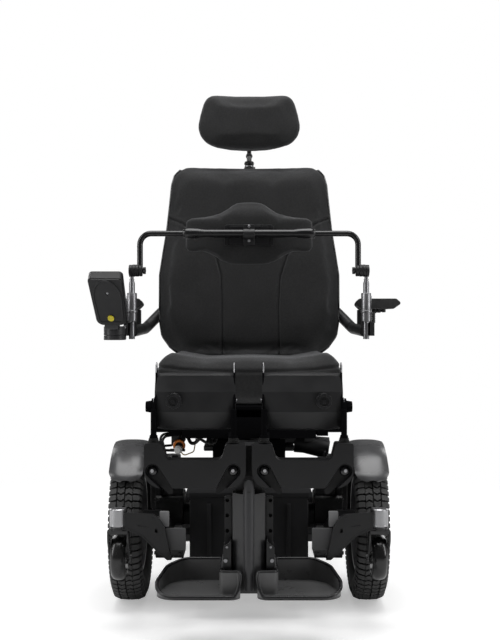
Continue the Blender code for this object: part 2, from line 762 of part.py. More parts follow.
def lift():
    """The telescopic seat column, its head with the tilt ears, and the tilt actuator in front."""
    half = LIFT_OUTER / 2
    bore = LIFT_INNER / 2 + GAP
    low = TUB_Z[0] + TUB_WALL + GAP
    outer = box(both(half), about(LIFT_Y, half), (low, LIFT_TOP), 0.004)
    inner_space = box(both(bore), about(LIFT_Y, bore), (low + 0.004, 1))
    finish(cut(outer, inner_space), "lift_column", "black_coat", "chassis")
    half = LIFT_INNER / 2
    stage = box(both(half), about(LIFT_Y, half), (low + 0.005, HEAD_Z + 0.002), 0.003)
    head = box(both(0.1065), (0.020, 0.320), (HEAD_Z, HEAD_Z + HEAD_THICK), 0.002)
    pivot_y, pivot_z = TILT_PIVOT
    ear = rounded([(pivot_y - 0.045, HEAD_Z + 0.001, 0), (pivot_y - 0.018, pivot_z + 0.018, 0.018),
                   (pivot_y + 0.018, pivot_z + 0.018, 0.018), (pivot_y + 0.020, HEAD_Z + 0.001, 0)], 4)
    ears = [flat([ear], sorted((s * 0.0945, s * 0.1065)), "X") for s in (1, -1)]
    pin = rod((-0.121, pivot_y, pivot_z), (0.121, pivot_y, pivot_z), TILT_PIN_R, ROUND)
    relief = rod((0, 0.165, HEAD_Z - 0.01), (0, 0.165, HEAD_Z + 0.02), 0.032, ROUND)
    finish(cut(joined(stage, head, *ears, pin), relief), "lift_head", "black_coat", "lift")
    x, z = 0.080, 0.3705
    tube_end = rod((x, 0.035, z), (x, 0.235, z), 0.0175, ROUND)
    motor = rod((0.1085, 0.060, 0.3515), (0.190, 0.060, 0.3450), 0.0210, BROAD)
    bridge = box((x, 0.112), (0.042, 0.078), (0.352, 0.378), 0.004)
    shaft = rod((x, -0.010, z), (x, 0.040, z), 0.008, ROUND)
    foot = box(about(x, 0.012), (0.150, 0.190), (HEAD_Z + HEAD_THICK + GAP, 0.362))
    finish(joined(tube_end, motor, bridge, shaft, foot), "tilt_actuator", "black_plastic", "lift")


def tilt_frame():
    """Side rails, cross tubes, the stand and legrest pivots and the front panel, with the stand actuator."""
    rail_z = TILT_RAIL_Z
    front_y = (-0.135, -0.103)
    rear_y = (0.337, 0.365)
    rails = [
        box(
            sorted((s * TILT_RAIL_X[0], s * TILT_RAIL_X[1])), (front_y[0] + 0.002, rear_y[1] - 0.002),
            rail_z,
        )
        for s in (1, -1)
    ]
    ear_x = (SEAT_RAIL_X[1] + 0.0045, SEAT_RAIL_X[1] + 0.0145)
    crosses = [
        box(both(ear_x[1] - 0.0007), front_y, (rail_z[0] + 0.008, rail_z[1] - 0.0007), 0.003),
        box(both(TILT_RAIL_X[1] - 0.001), rear_y, (rail_z[0] + 0.0007, rail_z[1] - 0.0007)),
        box(both(TILT_RAIL_X[1] - 0.001), (0.236, 0.256), (rail_z[0] + 0.004, rail_z[1] - 0.001)),
        box(both(0.148), (front_y[0] - 0.0025, front_y[0] + 0.001), PANEL_Z),
    ]
    y, z = STAND_PIVOT
    ear = rounded(
        [
            (y - 0.018, z + 0.018, 0.017), (y + 0.018, z + 0.018, 0.017), (y + 0.022, rail_z[0] + 0.012, 0),
            (y - 0.012, rail_z[0] + 0.012, 0),
        ]
    )
    for s in (1, -1):
        crosses.append(flat([ear], sorted((s * ear_x[0], s * ear_x[1])), "X"))
        pivot_y, pivot_z = TILT_PIVOT
        tab = rounded([(rear_y[0] + 0.0045, pivot_z - 0.016, 0), (rear_y[0] + 0.0045, rail_z[1] - 0.006, 0),
                       (pivot_y - 0.017, rail_z[1] - 0.006, 0.014), (pivot_y - 0.017, pivot_z - 0.016, 0.015)])
        crosses.append(flat([tab], sorted((s * 0.1070, s * 0.1180)), "X"))
        leg_y, leg_z = LEG_PIVOT
        lug = rounded([(leg_y - 0.018, leg_z - 0.018, 0.016), (leg_y + 0.022, leg_z - 0.018, 0.010),
                       (front_y[1] - 0.003, rail_z[0] + 0.012, 0),
                       (front_y[0] + 0.003, rail_z[0] + 0.012, 0),
                       (leg_y - 0.018, leg_z + 0.014, 0.012)])
        crosses.append(flat([lug], sorted((s * 0.0358, s * 0.0450)), "X"))
    crosses.append(rod((-0.05, *LEG_PIVOT), (0.05, *LEG_PIVOT), 0.007, ROUND))
    frame = joined(rails[0], rails[1], *crosses)
    holes = [rod((s * 0.16, y, z), (s * 0.23, y, z), 0.0070 + FIT, ROUND) for s in (1, -1)]
    holes += [
        rod((s * 0.1, *TILT_PIVOT), (s * 0.13, *TILT_PIVOT), TILT_PIN_R + FIT, ROUND) for s in (1, -1)
    ]
    finish(cut(frame, *holes), "tilt_frame", "black_coat", "tilt")
    x, z = -0.066, 0.4055
    barrel = rod((x, 0.020, z), (x, 0.2355, z), 0.0145, ROUND)
    motor = rod((x - 0.036, 0.190, z), (x - 0.036, 0.105, z), 0.0155, ROUND)
    bridge = box((x - 0.036, x), (0.180, 0.205), about(z, 0.013), 0.004)
    shaft = rod((x, -0.055, z), (x, 0.022, z), 0.0065, ROUND)
    eye = rod((x - 0.006, -0.058, z), (x + 0.006, -0.058, z), 0.010, ROUND)
    finish(joined(barrel, motor, bridge, shaft, eye), "stand_actuator", "black_plastic", "tilt")


def seat():
    """The seat pan on its side rails, pivoting at the front, and the contoured cushion."""
    rails, pins = [], []
    y, z = STAND_PIVOT
    back_y, back_z = BACK_PIVOT
    pan = box(
        both(SEAT_RAIL_X[1]), (-0.104, 0.384), (SEAT_RAIL_Z[1] - 0.001, SEAT_RAIL_Z[1] + PAN_THICK), 0.002
    )
    for s in (1, -1):
        span = sorted((s * SEAT_RAIL_X[0], s * SEAT_RAIL_X[1]))
        rail = rounded([
            (y - 0.017, z + 0.017, 0.016), (y + 0.019, z + 0.017, 0.012), (-0.1035, SEAT_RAIL_Z[1], 0),
            (back_y - 0.028, SEAT_RAIL_Z[1], 0.006), (back_y - 0.020, back_z + 0.018, 0.010),
            (back_y + 0.020, back_z + 0.018, 0.018),
            (back_y + 0.018, back_z - 0.030, 0.016), (back_y - 0.02, SEAT_RAIL_Z[0], 0.010),
            (y - 0.001, SEAT_RAIL_Z[0], 0.012),
        ])
        rails.append(flat([rail], span, "X"))
        pins.append(rod((s * 0.19, y, z), (s * 0.2185, y, z), 0.0070, ROUND))
        pins.append(rod((s * 0.2152, y, z), (s * 0.2275, y, z), 0.0135, ROUND, 0.0115))
    lug = box(about(-0.066, 0.013), (-0.075, -0.045), (0.428, SEAT_RAIL_Z[1]), 0.002)
    frame = joined(pan, *rails, *pins, lug)
    bores = [
        rod((s * 0.1, back_y, back_z), (s * 0.23, back_y, back_z), 0.014 + FIT, BROAD) for s in (1, -1)
    ]
    eye = rod((-0.1, -0.058, 0.4055), (0, -0.058, 0.4055), 0.0125, ROUND)
    finish(cut(frame, *bores, eye), "seat_frame", "black_coat", "stand")
    low = SEAT_RAIL_Z[1] + PAN_THICK + GAP
    across = [(0, 0.003), (0.10, 0.0), (0.185, 0.014), (0.2145, 0.008)]

    def place(u, v, back):
        swell = (abs(u) ** 3) * 0.25 + 0.75
        x = CUSHION_X * u
        y = CUSHION_Y[0] + (CUSHION_Y[1] - CUSHION_Y[0]) * (v + 1) / 2
        edge_u = max(0, (abs(u) - 0.80) / 0.20)
        edge_v = max(0, (-v - 0.78) / 0.22)
        if back:
            return Vector((x * (0.975 if abs(u) == 1 else 1), y, low))
        top = CUSHION_TOP + blend(across, abs(x)) * (1 - 0.25 * v) - 0.004 * (v + 1) * swell
        drop = 0.034 * edge_u ** 2.2 + 0.030 * edge_v ** 2.2 + (0.022 if v > 0.99 else 0)
        return Vector((x * (1 - 0.012 * edge_u), y + 0.006 * edge_v ** 2, top - drop))

    finish(padded_form(14, 12, place), "seat_cushion", "black_fabric", "stand")


BACK_WIDTH = [
    (0.541, 0.150), (0.556, 0.184), (0.603, 0.229), (0.681, 0.2375), (0.768, 0.2375),
    (0.888, 0.2200), (1.011, 0.2050), (1.042, 0.192), (1.063, 0.160),
]


def shell_front(x):
    """The shell's front surface across its width: it wraps forward at the sides."""
    return SHELL_Y - SHELL_BOW * (x / 0.24) ** 2


def back():
    """The carrier that keeps the back upright, the reclining frame, its shell and cushion."""
    y, z = BACK_PIVOT
    span = SEAT_RAIL_X[1] - 0.001
    shaft = rod((-span, y, z), (span, y, z), 0.014, BROAD)
    link = rounded([(y - 0.017, z + 0.012, 0.012), (y + 0.012, z + 0.017, 0.012), (y + 0.075, z - 0.018, 0.010),
                    (y + 0.060, z - 0.044, 0.010), (y - 0.017, z - 0.017, 0.012)])
    plates = [flat([link], sorted((s * 0.060, s * 0.072)), "X") for s in (1, -1)]
    bar = rod((-0.071, y + 0.058, z - 0.026), (0.071, y + 0.058, z - 0.026), 0.008, ROUND)
    finish(joined(shaft, *plates, bar), "back_carrier", "black_coat", "back_carrier")
    pieces = []
    for s in (1, -1):
        x = s * POST_X
        pieces.append(rod((x - 0.016, y, z), (x + 0.016, y, z), 0.025, BROAD))
        path = [
            (x, y + 0.005, z + 0.005), (x, POST_Y, 0.560), (x, POST_Y, 0.965), (x, POST_Y + 0.050, 1.000)
        ]
        pieces.append(tube(path, POST_R, TUBE, (0, 0.06, 0.04)))
    hinge_y, hinge_z = ARM_HINGE
    pieces.append(rod((-0.2005, hinge_y, hinge_z), (0.2005, hinge_y, hinge_z), 0.011, ROUND))
    for s in (1, -1):
        pieces.append(rod((s * 0.2, hinge_y, hinge_z), (s * 0.2330, hinge_y, hinge_z), ARM_HINGE_R, ROUND))
    pieces.append(rod((-0.185, POST_Y + 0.050, 1.000), (0.185, POST_Y + 0.050, 1.000), 0.0135, ROUND))
    pieces.append(rod((-POST_X, POST_Y, 0.880), (POST_X, POST_Y, 0.880), 0.009, SLIM))
    socket_y = (SHELL_Y + SHELL_WALL + 0.006, SHELL_Y + SHELL_WALL + 0.026)
    pieces.append(box(both(0.018), (socket_y[0], POST_Y + 0.006), (0.850, 0.990), 0.003))
    pieces.append(box(both(POST_X + 0.006), (SHELL_Y + SHELL_WALL + GAP, POST_Y - 0.006), (0.685, 0.715)))
    frame = joined(pieces[0], *pieces[1:])
    slot = box(both(0.010 + GAP), about(POST_Y - 0.006, 0.005 + GAP), (0.80, 1.10))
    bore = rod((-0.2, y, z), (0.2, y, z), 0.014 + FIT, BROAD)
    finish(cut(frame, slot, bore), "back_frame", "black_coat", "recline")

    def shell_place(u, v, back_side):
        z = 0.552 + (1.055 - 0.552) * (v + 1) / 2
        half = blend(BACK_WIDTH, z) + 0.0075
        x = half * u * (1 - 0.10 * max(0, (abs(v) - 0.9) / 0.1))
        return Vector((x, shell_front(x) + (SHELL_WALL if back_side else 0), z))

    finish(padded_form(8, 8, shell_place), "back_shell", "black_plastic", "recline")

    def cushion_place(u, v, back_side):
        z = BACK_Z[0] + (BACK_Z[1] - BACK_Z[0]) * (v + 1) / 2
        x = blend(BACK_WIDTH, z) * u
        rear = shell_front(x) - SOFT_GAP
        if back_side:
            return Vector((x, rear, z))
        edge = max(abs(u) ** 6, abs(v) ** 14)
        bolster = 0.020 * blend([(0.45, 0), (0.80, 1), (1, 0.6)], abs(u)) * blend(
            [(0.56, 0), (0.66, 1), (0.80, 1), (1.0, 0.2)], z
        )
        front = BACK_FRONT_Y - bolster - 0.006 * (1 - u * u)
        return Vector((x, front + (rear - 0.012 - front) * edge, z))

    finish(padded_form(12, 10, cushion_place), "back_cushion", "black_fabric", "recline")


def headrest():
    """The flat post in its socket, the cranked neck with a cross barrel, and the pad that tilts on the barrel."""
    y = POST_Y - 0.006
    ball_y, ball_z = HEAD_BALL
    elbow = (0, POST_Y + 0.018, 1.130)
    behind = (0, ball_y + 0.020, ball_z)
    post = box(both(0.010), about(y, 0.005), (0.862, 1.098))
    clamps = [rod((0, y, z), (0, y, z + 0.010), 0.0125, ROUND) for z in (1.064, 1.086)]
    neck = rod((0, y, 1.092), elbow, HEAD_POST_R, ROUND)
    arm = rod(elbow, behind, HEAD_POST_R, ROUND)
    last = rod(behind, (0, ball_y, ball_z), 0.006, ROUND)
    barrel = rod((-0.011, ball_y, ball_z), (0.011, ball_y, ball_z), HEAD_BALL_R, BROAD)
    made = joined(post, *clamps, neck, ball(elbow, 0.012), arm, ball(behind, 0.010), last, barrel)
    finish(made, "headrest_post", "black_coat", "head_post")
    width = [
        (1.117, 0.095), (1.128, 0.126), (1.175, 0.1425), (1.205, 0.1385), (1.245, 0.120), (1.265, 0.112)
    ]

    def place(u, v, back_side):
        z = 1.1165 + (1.2655 - 1.1165) * (v + 1) / 2
        x = blend(width, z) * u
        z += -0.004 * (1 - u * u) if v < 0 else 0.002 * (1 - u * u)
        wrap = 0.022 * u * u
        edge = max(abs(u) ** 7, abs(v) ** 6)
        if back_side:
            return Vector((x, HEAD_BALL[0] - 0.003 - wrap * 1.2 - 0.010 * edge - 0.014 * min(0, v) ** 2, z))
        return Vector((x, 0.428 - wrap + 0.030 * edge, z))

    pad = padded_form(10, 8, place)
    socket = rod((-0.0115, ball_y, ball_z), (0.0115, ball_y, ball_z), HEAD_BALL_R + FIT, BROAD)
    finish(cut(pad, socket), "headrest_pad", "black_fabric", "head_tilt")


def armrests():
    """The cranked arm tubes with pad stems, post receivers and joystick discs, and the bevelled pads."""
    hinge_y, hinge_z = ARM_HINGE
    low, high = RECEIVER_Z
    path = [
        (0.217, hinge_y, hinge_z), (0.274, hinge_y - 0.030, hinge_z - 0.012), (ARM_X, 0.375, 0.622),
        (ARM_X, 0.082, 0.614),
    ]
    arm = tube(path, ARM_TUBE_R, TUBE, (0, 0.022, 0.08))
    hub = rod((0.2020, hinge_y, hinge_z), (0.2320, hinge_y, hinge_z), 0.0195, ROUND)
    receiver = rod((ARM_X, CHEST_POST_Y, low), (ARM_X, CHEST_POST_Y, high), RECEIVER_R, BROAD)
    collar = rod(
        (ARM_X, CHEST_POST_Y, high - 0.016), (ARM_X, CHEST_POST_Y, high - 0.010), RECEIVER_R + 0.0025, BROAD
    )
    disc = rod((SWING_X, SWING_Y, low), (SWING_X, SWING_Y, low + 0.011), SWING_R, BROAD)
    pin = rod((SWING_X, SWING_Y, low + 0.010), (SWING_X, SWING_Y, low + 0.024), 0.006, ROUND)
    wing = box(
        (ARM_X - 0.004, ARM_X + 0.002), (CHEST_POST_Y - 0.032, CHEST_POST_Y - 0.010),
        (high - 0.050, high - 0.036),
    )
    link = box((ARM_X + 0.004, SWING_X - 0.012), about(SWING_Y, 0.012), (low + 0.001, low + 0.010))
    stems = [box((0.274, 0.302), about(y, 0.016), (0.615, PAD_Z[0] - GAP)) for y in (0.180, 0.330)]
    arm = joined(arm, hub, receiver, collar, disc, link, pin, wing, *stems)
    bore = rod(
        (ARM_X, CHEST_POST_Y, low - 0.01), (ARM_X, CHEST_POST_Y, high + 0.01), CHEST_POST_R + FIT, ROUND
    )
    bush = rod((0.1, hinge_y, hinge_z), (0.2335, hinge_y, hinge_z), ARM_HINGE_R + FIT, ROUND)
    pair(cut(arm, bore, bush), "armrest_tube", "black_coat", "armrest_left", "armrest_right")
    half = PAD_W / 2
    section = [
        (PAD_X - half, PAD_Z[0] + 0.014, 0.004), (PAD_X - half + 0.012, PAD_Z[1], 0.008),
        (PAD_X + half - 0.012, PAD_Z[1], 0.008),
        (PAD_X + half, PAD_Z[0] + 0.014, 0.004), (PAD_X + half - 0.020, PAD_Z[0], 0.004),
        (PAD_X - half + 0.020, PAD_Z[0], 0.004),
    ]
    pad = flat([rounded(section, 2)], PAD_Y, "Y", 0.004)
    pair(pad, "armrest_pad", "black_rubber", "armrest_left", "armrest_right")


def chest_support():
    """The chest posts, the bar between their clamps, its sleeve with the mount plate, and the pad."""
    y = CHEST_POST_Y
    drum_inner = BAR_X + BAR_R + 0.0035
    post = rod((ARM_X, y, RECEIVER_Z[0] + 0.004), (ARM_X, y, BAR_PIVOT_Z - 0.030), CHEST_POST_R, ROUND)
    shoulder = rod(
        (ARM_X, y, BAR_PIVOT_Z - 0.031), (ARM_X, y, BAR_PIVOT_Z - 0.022), CHEST_POST_R, ROUND, 0.0045
    )
    neck = rod((ARM_X, y, BAR_PIVOT_Z - 0.024), (ARM_X, y, BAR_PIVOT_Z - 0.008), 0.0045, ROUND)
    drum = rod((drum_inner + GAP, y, BAR_PIVOT_Z), (drum_inner + 0.0155, y, BAR_PIVOT_Z), DRUM_R, BROAD)
    pair(
        joined(post, shoulder, neck, drum), "chest_post", "satin_steel", "chest_post_left",
        "chest_post_right",
    )
    top = BAR_Z
    path = [
        (BAR_X, y, BAR_PIVOT_Z + 0.004), (BAR_X, y, top), (-BAR_X, y, top), (-BAR_X, y, BAR_PIVOT_Z + 0.004)
    ]
    bar = tube(path, BAR_R, ROUND, (0, BAR_BEND, BAR_BEND))
    drums = []
    for s in (1, -1):
        drums.append(
            rod((s * (BAR_X - 0.008), y, BAR_PIVOT_Z), (s * drum_inner, y, BAR_PIVOT_Z), DRUM_R, BROAD)
        )
        drums.append(
            rod((s * (BAR_X - 0.010), y, BAR_PIVOT_Z), (s * (BAR_X - 0.007), y, BAR_PIVOT_Z), 0.005, SLIM)
        )
        drums.append(
            rod((s * (BAR_X - 0.019), y, BAR_PIVOT_Z), (s * (BAR_X - 0.0095), y, BAR_PIVOT_Z), 0.0105, 6)
        )
    finish(joined(bar, *drums), "chest_bar", "black_coat", "chest_bar")
    bore = BAR_R + GAP
    outer = [(-0.1585, bore), (-0.1585, 0.0105), (-0.150, 0.0130), (-0.126, 0.0120), (-0.104, 0.0100)]
    outline = [(r, a) for a, r in outer[1:]] + [(r, -a) for a, r in reversed(outer[1:])]
    end = outline[0][1] - 0.008
    sleeve = turned([(0, end), (0.0095, end), *outline, (0.0095, -end), (0, -end)], "X", (0, y, top), BROAD)
    plate = box(both(0.060), (y + 0.0122, y + 0.018), about(top - 0.006, 0.028), 0.0015)
    block = box(both(0.0133), (y - 0.0165, y + 0.0151), about(top - 0.006, 0.0245), 0.002)
    ends = [
        rod((s * 0.058, y + 0.0145, top - 0.030), (s * 0.058, y + 0.0145, top + 0.018), 0.0035, SLIM)
        for s in (1, -1)
    ]
    clear = rod((-0.2, y, top), (0.2, y, top), bore + GAP, ROUND)
    finish(
        cut(joined(block, sleeve, plate, *ends), clear), "chest_bar_sleeve", "black_plastic", "chest_bar"
    )
    upper = [(0, 0.934), (0.030, 0.933), (0.062, 0.914), (0.110, 0.900), (0.140, 0.896), (0.165, 0.878)]
    lower = [(0, 0.7825), (0.045, 0.784), (0.085, 0.803), (0.110, 0.8135), (0.140, 0.820), (0.165, 0.838)]

    def place(u, v, back_side):
        x = 0.165 * u
        high, low = blend(upper, abs(x)), blend(lower, abs(x))
        z = low + (high - low) * (v + 1) / 2
        wrap = 0.030 * u * u
        edge = max(abs(u) ** 8, abs(v) ** 6)
        front = y + 0.018 + GAP + wrap
        if back_side:
            return Vector((x, front + 0.042 - 0.018 * edge, z))
        return Vector((x, front + 0.006 * edge, z))

    finish(padded_form(12, 6, place), "chest_pad", "black_fabric", "chest_bar")


def stick_frame():
    return Matrix.Translation((STICK_X, STICK_Y, STICK_Z)) @ Matrix.Rotation(STICK_TILT, 4, "X")


def lever_pivot():
    return tuple(stick_frame() @ Vector((0, -0.018, STICK_BOX[2] / 2)))


def joystick():
    """The joystick box, steeply tipped up on its swing drum, with an oval raised underside."""
    wide, long, thick = STICK_BOX
    frame = stick_frame()
    low, high = -thick / 2, thick / 2
    outline = rounded([
        (-wide / 2, -long / 2, 0.008), (wide / 2, -long / 2, 0.008), (wide / 2 - 0.006, long / 2, 0.014),
        (-wide / 2 + 0.006, long / 2, 0.014),
    ])
    body = flat([outline], (low + 0.004, high), "Z")
    skirt = flat([[p * 0.94 for p in outline]], (low, low + 0.005), "Z")
    oval = [(-0.030, 0.056, 0), (-0.034, -0.010, 0.02)] + [
        (p.x, p.y, 0) for p in arc((0, -0.014), 0.034, 180, 360, 5)
    ]
    oval = rounded(oval + [(0.034, -0.010, 0.02), (0.030, 0.056, 0)])
    pad = flat([oval], (low - 0.002, low + 0.001), "Z")
    cap = rod((0, 0.040, low - 0.0035), (0, 0.040, low), 0.0075, BROAD)
    boot = rod((0, -0.018, high - 0.001), (0, -0.018, high + 0.007), 0.018, BROAD, 0.014)
    keys = [
        box(about(x, 0.007), about(0.032, 0.005), (high - 0.001, high + 0.0015)) for x in (-0.022, 0, 0.022)
    ]
    made = joined(body, skirt, pad, cap, boot, *keys)
    dish = ball((0, -0.018, high), 0.0102, BROAD)
    made = cut(made, dish)
    made.data.transform(frame)
    finish(made, "joystick_housing", "black_plastic", "joystick")
    floor = RECEIVER_Z[0] + 0.011 + GAP
    drum = rod((-SWING_X, SWING_Y, floor), (-SWING_X, SWING_Y, floor + 0.0175), SWING_R, BROAD)
    neck = flat([rounded([(SWING_Y + 0.015, floor + 0.002, 0), (SWING_Y - 0.055, floor + 0.004, 0.004),
                          (SWING_Y - 0.065, floor + 0.050, 0.004), (SWING_Y - 0.015, floor + 0.050, 0.004)])],
                about(STICK_X, 0.022), "X")
    arm = joined(drum, neck)
    bore = rod((-SWING_X, SWING_Y, floor - 0.01), (-SWING_X, SWING_Y, floor + 0.0132), 0.006 + FIT, ROUND)
    space = box(both(wide / 2 + GAP), both(long / 2 + GAP), (low - 0.002 - GAP, high + GAP + 0.03))
    space.data.transform(frame)
    receiver = rod((-ARM_X, CHEST_POST_Y, 0.5), (-ARM_X, CHEST_POST_Y, 0.8), RECEIVER_R + 0.003, BROAD)
    finish(cut(arm, bore, space, receiver), "joystick_arm", "black_coat", "joystick")
    pivot = Vector(lever_pivot())
    up = (frame.to_3x3() @ Vector((0, 0, 1))).normalized()
    stem = rod(pivot + up * 0.003, pivot + up * 0.026, 0.004, SLIM)
    root = ball(pivot, 0.0088, BROAD)
    knob = rod(pivot + up * 0.024, pivot + up * 0.042, 0.0105, ROUND, 0.0085)
    finish(joined(stem, root, knob), "joystick_lever", "black_rubber", "stick")


def legrest():
    """The leg frame with its nosed column, the sliding plate behind it, and the two knee carriers."""
    y, z = LEG_PIVOT
    hub = rod((-0.0352, y, z), (0.0352, y, z), 0.0178, BROAD)
    side = rounded([
        (y, z + 0.0175, 0), (y - 0.145, z - 0.002, 0.03), (CARRIER_Y[1] + GAP, z - 0.005, 0),
        (CARRIER_Y[1] + GAP, COLUMN_Z[1] - 0.012, 0),
        (-0.345, COLUMN_Z[1] - 0.012, 0), (-0.325, COLUMN_Z[1] + 0.012, 0.02),
        (y - 0.010, z - 0.0145, 0.03), (y + 0.005, z - 0.016, 0),
    ])
    arm = flat([side], both(0.027), "X")
    head = box(
        both(0.044), (CARRIER_Y[1] + GAP, -0.350), (CARRIER_Z[0] + 0.006, CARRIER_Z[1] - 0.008), 0.004
    )
    nose = [(COLUMN_X, COLUMN_Y[1], 0), (COLUMN_X, -0.386, 0.004), (0.0105, -0.406, 0), (-0.0105, -0.406, 0),
            (-COLUMN_X, -0.386, 0.004), (-COLUMN_X, COLUMN_Y[1], 0)]
    column = flat([rounded(nose)], COLUMN_Z, "Z")
    bar = rod((0, -0.408, COLUMN_Z[0] + 0.002), (0, -0.408, 0.335), 0.0095, ROUND)
    frame = joined(arm, hub, head, column, bar)
    slide_rib = (0.0115, 0.0190)
    groove = box(
        both(slide_rib[0] + GAP), (COLUMN_Y[1] - slide_rib[1] - GAP, COLUMN_Y[1] + 0.001),
        (0.0, COLUMN_Z[1] - 0.012 - 0.0005),
    )
    bore = rod((-0.05, y, z), (0.05, y, z), 0.007 + FIT, ROUND)
    slot = box(both(0.0045), (-0.43, -0.4145), (0.3095, 0.3135))
    finish(cut(frame, groove, bore, slot), "legrest_frame", "grey_coat", "legrest")
    plate_y = (COLUMN_Y[1] + GAP, COLUMN_Y[1] + 0.0085)
    plate = box(both(STRIP_X[1]), plate_y, (STRIP_Z[0], COLUMN_Z[1] - 0.0135), 0.001)
    rib = box(both(slide_rib[0]), (COLUMN_Y[1] - slide_rib[1], COLUMN_Y[1] + 0.002), (0.150, 0.288))
    x, hinge_z = FOOT_HINGE
    added, holes = [rib], []
    for s in (1, -1):
        cheek = sorted((s * (COLUMN_X + 0.0013), s * (COLUMN_X + 0.0039)))
        added.append(box(cheek, (-0.3950, plate_y[0] + 0.001), CHEEK_Z))
        near, far = s * (COLUMN_X + 0.0015), s * (COLUMN_X + 0.020)
        lug = rounded(
            [
                (near, CHEEK_Z[0] - 0.002, 0), (near, CHEEK_Z[1] + 0.002, 0), (far, hinge_z + 0.022, 0.006),
                (far, CHEEK_Z[0] + 0.006, 0.006),
            ]
        )
        added.append(flat([lug], (-0.3960, -0.3905), "Y"))
        added.append(flat([lug], (plate_y[0] + 0.0006, plate_y[1] - 0.0006), "Y"))
        added.append(rod((s * x, -0.400, hinge_z), (s * x, plate_y[0] + 0.002, hinge_z), FOOT_PIN_R, ROUND))
        for k in range(3):
            spot = (s * sum(STRIP_X) / 2, 0.220 + 0.030 * k)
            holes.append(rod((spot[0], -0.36, spot[1]), (spot[0], -0.33, spot[1]), 0.0032, SLIM))
    finish(cut(joined(plate, *added), *holes), "leg_slide", "black_coat", "leg_slide")


def footplate():
    """The left footplate: a dished tray, high at the heel and open to the toes, on its hinge arm."""
    inner, outer = FOOT_X
    front, rear = FOOT_Y
    top = HEEL_Z
    plan = [
        (inner, front, 0.022), (outer - 0.004, front, 0.040), (outer, rear - 0.040, 0.050),
        (0.128, rear, 0.020), (inner + 0.030, rear, 0.006), (inner, rear - 0.040, 0.020),
    ]
    block = flat([rounded(plan, 3)], (FOOT_Z, top), "Z")
    wall = 0.0055
    pocket = [(inner + wall, front + wall, 0.018), (outer - wall - 0.004, front + wall, 0.036), (outer - wall, rear - 0.042, 0.045),
              (0.126, rear - wall, 0.016), (inner - 0.1, rear - wall, 0), (inner - 0.1, front + wall, 0)]
    pocket = flat([rounded(pocket, 3)], (FOOT_Z + FOOT_THICK, 1), "Z")
    slope = flat(
        [
            [
                (front - 0.1, FOOT_Z + 0.020), (-0.400, FOOT_Z + 0.022), (-0.345, FOOT_Z + 0.034),
                (rear - 0.008, top - 0.001), (rear + 0.1, top - 0.001), (rear + 0.1, 1), (front - 0.1, 1),
            ]
        ],
        (-0.5, 0.5), "X",
    )
    outer_trim = arc((0.128, FOOT_Z), HEEL_Z - FOOT_Z, 90, 8, 6) + [
        Vector((0.4, FOOT_Z + 0.014)), Vector((0.4, 1)), Vector((0.128, 1))
    ]
    outer_trim = flat([outer_trim], (-0.6, -0.1), "Y")
    x, z = FOOT_HINGE
    tray = cut(block, pocket, slope, outer_trim)
    span = (-0.3895, COLUMN_Y[1] - 0.0005)
    knuckle = rod((x, span[0], z), (x, span[1], z), 0.0075, ROUND)
    arm = box((x - 0.0074, x + 0.0030), span, (FOOT_Z + 0.004, z))
    tray = joined(tray, knuckle, arm)
    bore = rod((x, -0.45, z), (x, -0.3, z), FOOT_PIN_R + FIT, ROUND)
    column = box((0, COLUMN_X + 0.001), (-0.5, -0.34), (COLUMN_Z[0] - 0.0005, 1))
    pair(cut(tray, bore, column), "footplate", "black_plastic", "footplate_left", "footplate_right")


def knee_carrier():
    """The left casting with two socket towers and a low bridge between them."""
    inner, outer = CARRIER_X
    low, high = CARRIER_Z
    outline = [
        (inner, low + 0.022, 0.014), (inner, high - 0.002, 0.005), (0.048, high - 0.002, 0.004),
        (0.0525, high - 0.024, 0.005),
        (0.162, high - 0.024, 0.005), (0.168, high, 0.004), (outer, high, 0.005),
        (outer, low + 0.028, 0.028),
        (0.158, low, 0.020), (0.055, low, 0.02),
    ]
    body = flat([rounded(outline)], CARRIER_Y, "Y", 0.003)
    rings = [
        rod((x, SOCKET_Y, high - 0.004), (x, SOCKET_Y, high + 0.0035), 0.0105, ROUND) for x in SOCKET_X
    ]
    body = joined(body, *rings)
    cuts = [rod((x, SOCKET_Y, 0.325), (x, SOCKET_Y, high + 0.01), UPRIGHT_R + FIT, ROUND) for x in SOCKET_X]
    for x, lean in zip(SOCKET_X, (0.018, -0.022)):
        cuts.append(rod((x, CARRIER_Y[0] - 0.01, 0.350), (x, CARRIER_Y[0] + 0.009, 0.350), 0.0125, ROUND))
        channel = [
            (x - 0.011, 0.352, 0), (x + 0.011, 0.352, 0), (x + lean + 0.008, 0.300, 0),
            (x + lean - 0.008, 0.300, 0),
        ]
        cuts.append(flat([rounded(channel)], (CARRIER_Y[0] - 0.01, CARRIER_Y[0] + 0.006), "Y"))
    body = cut(body, *cuts)
    pair(body, "knee_carrier", "black_coat", "legrest")


def knee_front(u, v):
    """The shell's front at u across and v up: three facets, bowed back at the sides."""
    facet = blend([(-1, 0.019), (-0.40, 0.0), (0.42, 0.0), (1, 0.021)], v)
    return KNEE_Y + facet + 0.012 * u * u


